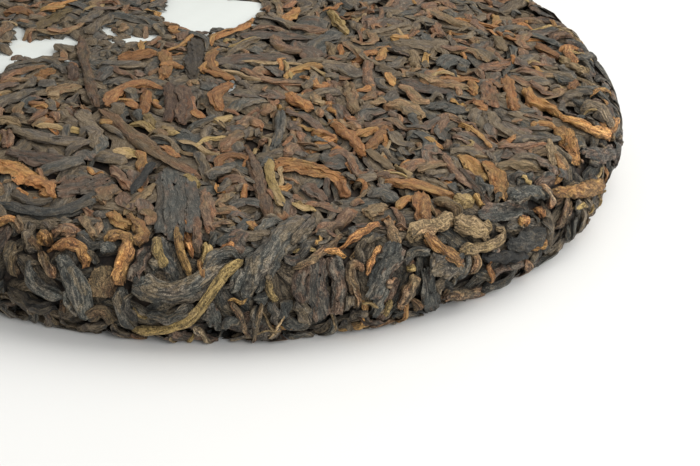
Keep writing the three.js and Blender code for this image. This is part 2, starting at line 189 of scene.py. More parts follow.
class CakeForm:
    """The cake's outer surface: a curve turned about Z, with a flat map of each face.

    On a map, distance and direction from the face's centre are those along the cake's surface, and lift is
    the height above it. Side 1 is the top and half the rim, side -1 the underside and the other half.
    """

    def __init__(self, sizes):
        flat = sizes.cake_radius - sizes.rim_rounding
        rim = sizes.rim_thickness
        top_radius = flat * np.arange(FACE_RINGS) / FACE_RINGS
        dome = 1 - (top_radius / flat) ** 2
        turn = math.pi / 2 - math.pi * np.arange(RIM_RINGS) / (RIM_RINGS - 1)
        under_radius = flat * (1 - np.arange(1, FACE_RINGS + 1) / FACE_RINGS)
        dent = (1 + np.cos(math.pi * under_radius / sizes.hollow_radius)) / 2
        bump = np.where(under_radius < sizes.hollow_radius, dent, 0)
        self.radius = np.concatenate([top_radius, flat + sizes.rim_rounding * np.cos(turn), under_radius])
        self.height = np.concatenate([
            rim + (sizes.centre_thickness - rim) * dome,
            rim / 2 * (1 + np.sin(turn)),
            sizes.hollow_depth * bump,
        ])
        steps = np.hypot(np.diff(self.radius), np.diff(self.height))
        self.length = np.concatenate([[0], np.cumsum(steps)])
        rings = math.pi * (self.radius[1:] + self.radius[:-1]) * steps
        self.area = np.concatenate([[0], np.cumsum(rings)])
        self.whole = self.length[-1]
        widest = np.argmax(self.radius)
        self.upper = slice(0, widest + 1)
        self.lower = slice(widest, FACE_RINGS + RIM_RINGS)
        slope_r = np.gradient(self.radius, self.length)
        slope_z = np.gradient(self.height, self.length)
        span = np.hypot(slope_r, slope_z)
        self.normal_r = -slope_z / span
        self.normal_z = slope_r / span

    def place(self, side, u, v, lift):
        """Points in space for points of the flat maps."""
        away = np.hypot(u, v)
        along = np.where(side > 0, away, self.whole - away)
        around = side * np.arctan2(v, u)
        normal_r = np.interp(along, self.length, self.normal_r)
        normal_z = np.interp(along, self.length, self.normal_z)
        radius = np.interp(along, self.length, self.radius) + normal_r * lift
        height = np.interp(along, self.length, self.height) + normal_z * lift
        return np.stack([radius * np.cos(around), radius * np.sin(around), height], axis=-1)

    def spread(self, share, around):
        """Side, u and v of points given by the share of the whole area above them and their direction."""
        along = np.interp(share * self.area[-1], self.area, self.length)
        side = np.where(along < self.whole / 2, 1, -1)
        away = np.where(side > 0, along, self.whole - along)
        return side, away * np.cos(around), away * np.sin(around)

    def seen_at(self, x, y):
        """u and v, on the top map, of the place that the camera sees at a pixel."""
        eye, right, up, ahead = camera_axes()
        ray = ahead + right * ((x - PICTURE_SIZE[0] / 2) / FOCAL_PIXELS) - up * (
            (y - PICTURE_SIZE[1] / 2) / FOCAL_PIXELS)
        reach = np.linspace(*SIGHT_RANGE, SIGHT_STEPS)[:, None] * CAMERA_DISTANCE
        points = np.array(eye)[None] + reach * np.array(ray)[None]
        radius = np.hypot(points[:, 0], points[:, 1])
        height = points[:, 2]
        upper, lower = self.upper, self.lower
        widest, middle = self.radius[upper][-1], self.height[upper][-1]
        roof = np.interp(radius, self.radius[upper], self.height[upper])
        wall = np.interp(-height, -self.height[lower], self.radius[lower])
        inside = (radius < widest) & (height < roof) & ((height > middle) | (radius < wall))
        if not inside.any():
            raise ValueError(f"pixel {x}, {y} is off the cake")
        hit = points[np.argmax(inside)]
        if hit[2] < middle:
            away = np.interp(-hit[2], -self.height[lower], self.length[lower])
        else:
            away = np.interp(np.hypot(hit[0], hit[1]), self.radius[upper], self.length[upper])
        around = math.atan2(hit[1], hit[0])
        return away * math.cos(around), away * math.sin(around)


def camera_axes():
    """Where the camera stands, and its right, up and forward directions."""
    ahead = Vector((0, math.cos(CAMERA_ELEVATION), -math.sin(CAMERA_ELEVATION)))
    level = Vector((1, 0, 0))
    upright = Vector((0, math.sin(CAMERA_ELEVATION), math.cos(CAMERA_ELEVATION)))
    right = level * math.cos(CAMERA_ROLL) + upright * math.sin(CAMERA_ROLL)
    up = upright * math.cos(CAMERA_ROLL) - level * math.sin(CAMERA_ROLL)
    return CAMERA_TARGET - ahead * CAMERA_DISTANCE, right, up, ahead


def on_ticket(u, v):
    """Whether points of the top map lie on the ticket."""
    du = u - TICKET_CENTRE[0]
    dv = v - TICKET_CENTRE[1]
    along = du * math.cos(TICKET_TURN) + dv * math.sin(TICKET_TURN)
    across = dv * math.cos(TICKET_TURN) - du * math.sin(TICKET_TURN)
    return (np.abs(along) < TICKET_SIZE[0] / 2) & (np.abs(across) < TICKET_SIZE[1] / 2)


def ticket_place(along, across):
    """u and v, on the top map, of places on the ticket."""
    u = TICKET_CENTRE[0] + along * math.cos(TICKET_TURN) - across * math.sin(TICKET_TURN)
    v = TICKET_CENTRE[1] + along * math.sin(TICKET_TURN) + across * math.cos(TICKET_TURN)
    return u, v


def deselect():
    """Leaves nothing selected, so that the next operator acts on its own piece alone."""
    bpy.ops.object.select_all(action="DESELECT")


def select_points(obj, test):
    """Selects, in edit mode, the points of a mesh whose place passes a test."""
    mesh = bmesh.from_edit_mesh(obj.data)
    bpy.context.tool_settings.mesh_select_mode = (True, False, False)
    for vert in mesh.verts:
        vert.select_set(bool(test(vert.co)))
    mesh.select_flush_mode()
    bmesh.update_edit_mesh(obj.data)


class Shape:
    """One modelled leaf as arrays: x runs along it from -0.5 to 0.5, y and z are in half widths."""

    def __init__(self, obj, flat=False):
        mesh = obj.data
        self.flat = flat
        self.points = np.zeros(len(mesh.vertices) * 3)
        mesh.vertices.foreach_get("co", self.points)
        self.points = self.points.reshape(-1, 3)
        self.corners = np.zeros(len(mesh.loops), np.int32)
        mesh.loops.foreach_get("vertex_index", self.corners)
        self.sizes = np.zeros(len(mesh.polygons), np.int32)
        mesh.polygons.foreach_get("loop_total", self.sizes)
        self.triangles = int((self.sizes - 2).sum())
        nodes = np.linspace(-0.5, 0.5, SPINE_NODES)
        wide = np.zeros(SPINE_NODES)
        slot = np.clip(np.rint((self.points[:, 0] + 0.5) * (SPINE_NODES - 1)).astype(int), 0, SPINE_NODES - 1)
        np.maximum.at(wide, slot, np.hypot(self.points[:, 1], self.points[:, 2]))
        known = wide > 0
        self.wide = np.interp(nodes, nodes[known], wide[known])
        reach = np.hypot(self.points[:, 1], self.points[:, 2])
        width_there = np.maximum(np.interp(self.points[:, 0], nodes, self.wide), 0.05)
        self.edge = np.clip(reach / width_there, 0, 1) ** 3
        bpy.data.objects.remove(obj)
        bpy.data.meshes.remove(mesh)


def crumple(obj, texture_name, size, strength):
    """Uneven lumps all over a shape, by a Displace modifier that is then applied."""
    texture = bpy.data.textures.new(texture_name, "CLOUDS")
    texture.noise_scale = size
    lumps = obj.modifiers.new("Lumps", "DISPLACE")
    lumps.texture = texture
    lumps.texture_coords = "LOCAL"
    lumps.strength = strength
    bpy.ops.object.modifier_apply(modifier="Lumps")


def rolled_shape(sides, rings, creases, sink, nose, tail, lump=0.25, lump_size=0.45):
    """A leaf rolled into a strip: a creased ring drawn out along X, ring by ring, and closed at both ends.

    Creases are the numbers of the ring's points that sink to a share of its radius. The higher nose and tail
    are, the blunter are the two ends.
    """
    deselect()
    bpy.ops.mesh.primitive_circle_add(
        vertices=sides, radius=1, location=(-0.5, 0, 0), rotation=(0, math.pi / 2, 0))
    strip = bpy.context.object
    bpy.ops.object.transform_apply(location=True, rotation=True, scale=True)
    bpy.ops.object.mode_set(mode="EDIT")
    turns = [2 * math.pi * k / sides for k in creases]
    select_points(strip, lambda co: any(math.cos(math.atan2(co.z, co.y) - turn) > 0.99 for turn in turns))
    bpy.ops.transform.resize(value=(1, sink, sink), center_override=(-0.5, 0, 0))
    bpy.ops.mesh.select_all(action="SELECT")
    step = 1 / (rings + 1)
    width = [min(1, nose * (i + 1) * step, tail * (1 - (i + 1) * step)) ** 0.5 for i in range(rings)]
    bpy.ops.transform.translate(value=(step, 0, 0))
    bpy.ops.transform.resize(value=(1, width[0], width[0]), center_override=(step - 0.5, 0, 0))
    for i in range(1, rings):
        bpy.ops.mesh.extrude_region_move(TRANSFORM_OT_translate={"value": (step, 0, 0)})
        ratio = width[i] / width[i - 1]
        bpy.ops.transform.resize(value=(1, ratio, ratio), center_override=((i + 1) * step - 0.5, 0, 0))
    bpy.ops.mesh.extrude_region_move(TRANSFORM_OT_translate={"value": (step, 0, 0)})
    bpy.ops.mesh.merge(type="CENTER")
    select_points(strip, lambda co: abs(co.x - step + 0.5) < step / 4)
    bpy.ops.mesh.extrude_region_move(TRANSFORM_OT_translate={"value": (-step, 0, 0)})
    bpy.ops.mesh.merge(type="CENTER")
    bpy.ops.mesh.select_all(action="SELECT")
    bpy.ops.mesh.normals_make_consistent(inside=False)
    bpy.ops.object.mode_set(mode="OBJECT")
    crumple(strip, "leaf lumps", lump_size, lump)
    return Shape(strip)


def sheet_shape(columns, rows, fold, pleat, nose, tail, thickness):
    """A broad leaf: a sheet cut to the leaf's outline, pleated, folded about its midrib and made thick.

    The fold is half the angle that it turns through from edge to edge.
    """
    rng = np.random.default_rng(columns + 100 * rows)
    deselect()
    bpy.ops.mesh.primitive_grid_add(x_subdivisions=columns, y_subdivisions=rows, size=1)
    sheet = bpy.context.object
    bpy.ops.object.mode_set(mode="EDIT")
    bpy.ops.transform.resize(value=(1, 2, 1), center_override=(0, 0, 0))
    for i in range(columns + 1):
        t = i / columns
        width = min(1, nose * t + 0.2, tail * (1 - t) + 0.2) ** 0.7 * rng.uniform(0.88, 1.06)
        select_points(sheet, lambda co: abs(co.x - t + 0.5) < 0.2 / columns)
        bpy.ops.transform.resize(value=(1, width, 1), center_override=(0, 0, 0))
        bpy.ops.transform.translate(value=(0, rng.uniform(-0.1, 0.1), 0))
    bpy.ops.object.mode_set(mode="OBJECT")
    for vert in sheet.data.vertices:
        across = vert.co.y
        row = round((across / 2 + 0.5) * rows)
        turn = fold * across
        lift = pleat * (1 if row % 2 else -1) * (1 - abs(2 * vert.co.x) ** 3)
        vert.co.y = math.sin(turn) / fold - lift * math.sin(turn) * 0.5
        vert.co.z = (1 - math.cos(turn)) / fold - (1 - math.cos(fold)) / fold / 2 + lift * math.cos(turn)
    crumple(sheet, "sheet lumps", 0.5, 0.3)
    body = sheet.modifiers.new("Body", "SOLIDIFY")
    body.thickness = thickness
    body.offset = 0
    bpy.ops.object.modifier_apply(modifier="Body")
    bpy.ops.object.mode_set(mode="EDIT")
    bpy.ops.mesh.select_all(action="SELECT")
    bpy.ops.mesh.normals_make_consistent(inside=False)
    bpy.ops.object.mode_set(mode="OBJECT")
    return Shape(sheet, flat=True)


def leaf_shapes():
    """Every modelled leaf, in versions from the closest to the plainest."""
    shapes = {}
    for detail, sides, rings in (("close", 16, 26), ("fine", 12, 15), ("middle", 10, 11), ("plain", 8, 7)):
        half = sides // 2
        shapes["spindle", detail] = [
            rolled_shape(sides, rings, (0, half - 1), sink=0.5, nose=5, tail=3.4),
            rolled_shape(sides, rings, (1, 2), sink=0.55, nose=3.4, tail=8),
            rolled_shape(sides, rings, (0, 3, half + 2), sink=0.58, nose=9, tail=5),
        ]
        shapes["ribbed", detail] = [
            rolled_shape(sides, rings, range(0, sides, 2), sink=0.72, nose=3, tail=6, lump=0.18),
            rolled_shape(sides, rings, range(1, sides, 3), sink=0.6, nose=6, tail=3, lump=0.22),
        ]
        shapes["knobbly", detail] = [
            rolled_shape(sides, rings, (0, half), sink=0.75, nose=6, tail=6, lump=0.55, lump_size=0.28),
            rolled_shape(sides, rings, (1, half + 2), sink=0.7, nose=4, tail=9, lump=0.6, lump_size=0.24),
        ]
        shapes["stalk", detail] = [
            rolled_shape(sides - 2, rings, range(0, sides - 2, 2), sink=0.74, nose=14, tail=9, lump=0.12),
        ]
    for detail, columns, rows in (("close", 22, 9), ("fine", 12, 6), ("middle", 9, 5), ("plain", 7, 4)):
        shapes["gutter", detail] = [
            sheet_shape(columns, rows, fold=1.5, pleat=0.0, nose=4, tail=3, thickness=0.24),
            sheet_shape(columns, rows, fold=2.1, pleat=0.05, nose=3, tail=5, thickness=0.24),
        ]
        shapes["pleated", detail] = [
            sheet_shape(columns, rows, fold=0.5, pleat=0.14, nose=2.2, tail=6, thickness=0.2),
            sheet_shape(columns, rows, fold=0.9, pleat=0.1, nose=5, tail=2.4, thickness=0.2),
        ]
    shapes["under", "plain"] = [rolled_shape(6, 5, (1,), sink=0.7, nose=4, tail=3)]
    for (name, detail), choices in shapes.items():
        for shape in choices:
            shape.ridged = detail in ("close", "fine")
            shape.crumpling = CRUMPLING.get(name, CLOSE_CRUMPLING) if detail == "close" else 1
    return shapes


class LeafKind(NamedTuple):
    """One kind of leaf: its forms, its share of all leaves and of those on the faces, and how it is bent.

    Thickness is a share of the width. Bend and twist are angles from end to end, and hook is how often it
    ends in one.
    """

    slot: str
    forms: tuple
    share: float
    face_share: float
    width: tuple
    thickness: tuple
    stretch: float
    bend: float
    hook: float
    twist: float


KINDS = {
    "rolled_leaves": LeafKind(
        "dark_leaf", ("spindle",), share=0.3, face_share=0.2, width=(2.8 * MM, 5.4 * MM),
        thickness=(0.42, 0.6), stretch=1, bend=1.2, hook=0.12, twist=3),
    "twisted_leaves": LeafKind(
        "dark_leaf", ("spindle", "ribbed"), share=0.16, face_share=0.14, width=(1.7 * MM, 3 * MM),
        thickness=(0.5, 0.7), stretch=1, bend=2, hook=0.3, twist=5),
    "folded_leaves": LeafKind(
        "dark_leaf", ("gutter", "pleated"), share=0.26, face_share=0.18, width=(3.6 * MM, 7.5 * MM),
        thickness=(0.3, 0.45), stretch=0.9, bend=0.9, hook=0.08, twist=0.8),
    "brown_leaves": LeafKind(
        "brown_leaf", ("spindle", "ribbed", "gutter"), share=0.16, face_share=0.28, width=(1.8 * MM, 4 * MM),
        thickness=(0.42, 0.6), stretch=1, bend=1.8, hook=0.22, twist=3.5),
    "golden_buds": LeafKind(
        "golden_bud", ("ribbed", "spindle", "gutter"), share=0.07, face_share=0.11,
        width=(1.6 * MM, 3.6 * MM), thickness=(0.4, 0.6), stretch=1, bend=1.4, hook=0.15, twist=2.5),
    "leaf_stalks": LeafKind(
        "leaf_stem", ("stalk",), share=0.05, face_share=0.06, width=(1.1 * MM, 2 * MM), thickness=(0.6, 0.85),
        stretch=1.15, bend=0.9, hook=0.15, twist=1.5),
    "under_leaves": LeafKind(
        "dark_leaf", ("under",), share=0, face_share=0, width=(3.2 * MM, 6 * MM), thickness=(0.36, 0.5),
        stretch=1, bend=0.9, hook=0, twist=1),
    "cover_leaves": LeafKind(
        "dark_leaf", ("under",), share=0, face_share=0, width=(2.4 * MM, 4 * MM), thickness=(0.2, 0.3),
        stretch=1, bend=0.9, hook=0, twist=1),
}

# The leaves laid by chance, by size: lengths, places tried, the shape's version, and a share of the width.
SIZES = (
    ((15 * MM, 25 * MM), 620, "fine", 1.0),
    ((9 * MM, 15 * MM), 3600, "middle", 0.9),
    ((5 * MM, 9 * MM), 6000, "plain", 0.75),
    ((2.5 * MM, 5 * MM), 5000, "plain", 0.6),
)
UNDER_LENGTH = (12 * MM, 24 * MM)
UNDER_TRIES = 2600
UNDER_CEILING = -0.9 * MM
COVER_LENGTH = (5 * MM, 10 * MM)
COVER_TRIES = 4000
COVER_SPAN = 0.56  # of the ticket's size, each way from its middle
COVER_CEILING = -0.75 * MM
FACE_RADIUS = 84 * MM  # within this, the top shows more buds and brown leaves than the rest
FACE_TONES = 0.6  # of the rim's range of tones
HUMPED_SHARE = 0.65  # of the broad leaves; the others lie with their hollow side up
# How a leaf bends: angles in radians.
BROAD_TWIST = 0.7
TILT = 0.15
SWAY = 0.35
SWAYS = (0.6, 1.6)  # from end to end
MOST_KINKS = 2
KINK = 0.7
KINK_REACH = 0.4  # of the leaf's length, each way from its middle
HOOK_TURN = (1.4, 3.2)
HOOK_START = 0.05  # of the leaf's length past its middle
HOOK_LENGTH = 0.4
WAVE_COUNT = 7


class Waves:
    """Waves that push a leaf's points three ways.

    Their lengths across it are in mm. Along it, each is its length across divided by the last value.
    """

    def __init__(self, seed, shortest, longest, along):
        rng = np.random.default_rng(seed)
        self.ways = rng.normal(size=(3, WAVE_COUNT, 3))
        self.ways /= np.linalg.norm(self.ways, axis=2, keepdims=True)
        self.ways *= 2 * math.pi / rng.uniform(shortest, longest, (3, WAVE_COUNT, 1))
        self.ways[:, :, 0] *= along
        self.phases = rng.uniform(0, 6, (3, WAVE_COUNT))

    def at(self, grain):
        """The push, along, across and above, at points of a leaf in mm."""
        return np.sin(np.einsum("kwc,nc->nkw", self.ways, grain) + self.phases).mean(axis=2) * 2.2


CRUMPLES = Waves(SEED + 1, 1.5, 5, 0.8)
RIDGES = Waves(SEED + 2, 1.1, 2.2, 0.15)
RIDGE_SHARES = np.array([0.15, 0.7, 0.0])
# How much the closest versions are crumpled, as a share of the others: most forms, and two of their own.
CLOSE_CRUMPLING = 0.8
CRUMPLING = {"stalk": 0.35, "knobbly": 1.1}
CRUMPLE_ACROSS = 0.34 * MM
CRUMPLE_ABOVE = 0.26 * MM
CRUMPLE_ALONG = 0.3 * MM
CRUMPLED_HALF_WIDTH = 1.6 * MM  # narrower leaves are crumpled less


class Leaf:
    """One leaf on the cake: what it is, and where each node of its middle line lies."""

    def __init__(self, kind, shape, side, u, v, heading, length, width, thickness, rng):
        self.kind = kind
        self.shape = shape
        self.side = side
        self.u = u
        self.v = v
        self.heading = heading
        self.length = length
        self.half_width = width / 2
        self.thickness = thickness * width
        self.roll = rng.uniform(0, 2 * math.pi)
        self.twist = rng.uniform(-1, 1) * KINDS[kind].twist
        if shape.flat:
            self.roll = math.pi * (rng.random() < HUMPED_SHARE)
            self.twist = rng.uniform(-1, 1) * BROAD_TWIST
        self.tilt = rng.uniform(-TILT, TILT)
        self.tone = rng.random()
        self.hue = rng.random()
        self.offset = rng.uniform(0, 100, 3)
        self.phases = rng.uniform(0, 2 * math.pi, 4)
        self.flip = rng.random() < 0.5
        self.lift = np.zeros(SPINE_NODES)
        self.press = np.ones(SPINE_NODES)
        self.seen = 0.0


def wandering_spine(rng, kind, u, v, turn, length):
    """A middle line that bends to one side, sways, and may end in a hook."""
    t = np.linspace(-0.5, 0.5, SPINE_NODES)
    heading = turn + kind.bend * rng.uniform(-1, 1) * t + SWAY * rng.uniform(-1, 1) * np.sin(
        2 * math.pi * rng.uniform(*SWAYS) * t + rng.uniform(0, 6))
    for _ in range(rng.integers(0, MOST_KINKS + 1)):
        heading = heading + rng.uniform(-KINK, KINK) * (t > rng.uniform(-KINK_REACH, KINK_REACH))
    if rng.random() < kind.hook:
        hook = np.clip((t - HOOK_START) / HOOK_LENGTH, 0, 1) ** 1.5
        heading = heading + rng.choice([-1, 1]) * rng.uniform(*HOOK_TURN) * hook
    step = length / (SPINE_NODES - 1)
    du = np.concatenate([[0], np.cumsum(np.cos((heading[1:] + heading[:-1]) / 2))]) * step
    dv = np.concatenate([[0], np.cumsum(np.sin((heading[1:] + heading[:-1]) / 2))]) * step
    return u + du - du.mean(), v + dv - dv.mean(), heading


# How a leaf settles on the pile: it sinks in a little, its ends more, and it may be pressed thin.
SINK = 0.12 * MM
END_SINK = 0.45 * MM
PRESS_ROOM = 0.3 * MM
MEAN_SHARE = 0.55
HIGHEST_SHARE = 0.45
LEAST_FEELERS = 6
LEAST_ROOM = 0.5  # of its thickness
SMOOTHING = np.array([1, 2, 3, 2, 1]) / 9
CENTRE_STRIP = 0.25  # of its half width, each way, between the sides that tilt it
TILT_SHARE = 0.6  # of the slope of what it lies on
MOST_TILT = 0.4
KEPT_SHARE = 0.8  # of its half width, each way, that later leaves leave in sight
PLACED_PRESS = (0.7, 1.6)  # thinnest and thickest, as shares of its thickness
LAID_PRESS = (0.45, 1)
CELL_STEPS = np.array([1, 1000, 1000000])  # how much one cell along x, y or z adds to a cell's number
CELL_START = 500500500  # the number of the cell at the middle of the frame


class Pile:
    """How high the leaves lie so far, felt at points spread evenly over the whole cake."""

    def __init__(self, form):
        self.form = form
        n = np.arange(FEELER_COUNT)
        self.side, self.u, self.v = form.spread((n + 0.5) / FEELER_COUNT, n * GOLDEN_ANGLE)
        self.place = form.place(self.side, self.u, self.v, 0.0)
        paper = (self.side > 0) & on_ticket(self.u, self.v)
        self.height = np.where(paper, -TICKET_DEPTH + PAPER_REST, -CORE_DEPTH)
        self.bare = np.zeros(FEELER_COUNT, bool)
        for x, y, r in BARE_PATCHES:
            self.bare |= (self.side > 0) & (np.hypot(self.u - x * MM, self.v - y * MM) < r * MM)
        self.bare &= paper
        self.owner = np.full(FEELER_COUNT, -1)
        self.kept = np.zeros(FEELER_COUNT, bool)
        cells = self.cell_keys(self.place)
        order = np.argsort(cells, kind="stable")
        keys, starts = np.unique(cells[order], return_index=True)
        ends = np.append(starts[1:], FEELER_COUNT)
        self.cells = {int(key): order[a:b] for key, a, b in zip(keys, starts, ends)}
        around = np.array([(i, j, k) for i in (-1, 0, 1) for j in (-1, 0, 1) for k in (-1, 0, 1)])
        self.around = around @ CELL_STEPS

    def cell_keys(self, points):
        """The number of the cubic cell that each point lies in."""
        return np.floor(points / FEELER_CELL).astype(np.int64) @ CELL_STEPS + CELL_START

    def under(self, leaf):
        """The feelers under a leaf: their numbers, nearest nodes, and how far across the leaf they lie."""
        centre = self.form.place(leaf.side, leaf.u, leaf.v, 0.0)
        normal = self.form.place(leaf.side, leaf.u, leaf.v, MM) - centre
        keys = np.unique(self.cell_keys(centre)[:, None] + self.around[None])
        found = [self.cells[key] for key in keys.tolist() if key in self.cells]
        if not found:
            return None
        near = np.concatenate(found)
        along = np.gradient(centre, axis=0)
        along /= np.linalg.norm(along, axis=1, keepdims=True)
        across = np.cross(normal / MM, along)
        gap = self.place[near][:, None] - centre[None]
        node = np.argmin((gap ** 2).sum(axis=2), axis=1)
        gap = gap[np.arange(len(near)), node]
        ahead = (gap * along[node]).sum(axis=1)
        sideways = (gap * across[node]).sum(axis=1)
        half = leaf.half_width * leaf.shape.wide[node]
        step = leaf.length / (SPINE_NODES - 1)
        inside = (np.abs(sideways) < half) & (np.abs(ahead) < step)
        return near[inside], node[inside], (sideways / np.maximum(half, 1e-6))[inside]

    def lay(self, leaf, ceiling, number, forced=False):
        """Rests a leaf on the pile, if it stays under a ceiling, and feels it from then on."""
        felt = self.under(leaf)
        if felt is None or len(felt[0]) < LEAST_FEELERS:
            return False
        near, node, across = felt
        if not forced and (self.bare[near].sum() > BARE_FEELERS or self.kept[near].sum() > KEPT_FEELERS):
            return False
        height = self.height[near]
        room = ceiling - height.mean()
        if room < LEAST_ROOM * leaf.thickness and not forced:
            return False
        total = np.bincount(node, height, SPINE_NODES)
        count = np.bincount(node, minlength=SPINE_NODES)
        highest = np.full(SPINE_NODES, -np.inf)
        np.maximum.at(highest, node, height)
        known = np.flatnonzero(count)
        rest = MEAN_SHARE * total[known] / count[known] + HIGHEST_SHARE * highest[known]
        rest = np.interp(np.arange(SPINE_NODES), known, rest)
        padded = np.pad(rest, len(SMOOTHING) // 2, mode="edge")
        rest = np.convolve(padded, SMOOTHING, mode="valid")
        if rest.max() > ceiling and not forced:
            return False
        ends = np.abs(np.linspace(-1, 1, SPINE_NODES)) ** 4
        rest = rest - SINK - END_SINK * ends
        least, most = PLACED_PRESS if forced else LAID_PRESS
        squashed = np.clip(ceiling + PRESS_ROOM - rest, least * leaf.thickness, most * leaf.thickness)
        leaf.press = squashed / leaf.thickness
        leaf.lift = rest + squashed / 2
        left = across < -CENTRE_STRIP
        right = across > CENTRE_STRIP
        if left.any() and right.any():
            slope = (height[right].mean() - height[left].mean()) / (1.2 * leaf.half_width)
            leaf.tilt += float(np.clip(TILT_SHARE * slope, -MOST_TILT, MOST_TILT))
        crown = np.sqrt(np.clip(1 - across ** 2, 0, 1))
        top = leaf.lift[node] + (crown - 0.25) * squashed[node] * 0.5
        top = top + math.tan(leaf.tilt) * across * leaf.half_width
        higher = top > height
        self.height[near[higher]] = top[higher]
        self.owner[near[higher]] = number
        if forced:
            self.kept[near[np.abs(across) < KEPT_SHARE]] = True
        return True


class PlacedLeaf(NamedTuple):
    """A leaf that the photo shows plainly: its kind and form, its line in pixels, width in mm, tone and hue.

    Tone is 0 for the darkest and 1 for the lightest of the other leaves of its kind, and may pass both.
    """

    kind: str
    form: str
    line: tuple
    width: float
    tone: float
    hue: float


ROLLED, TWISTED, FOLDED = "rolled_leaves", "twisted_leaves", "folded_leaves"
BROWN, GOLDEN, STALK = "brown_leaves", "golden_buds", "leaf_stalks"

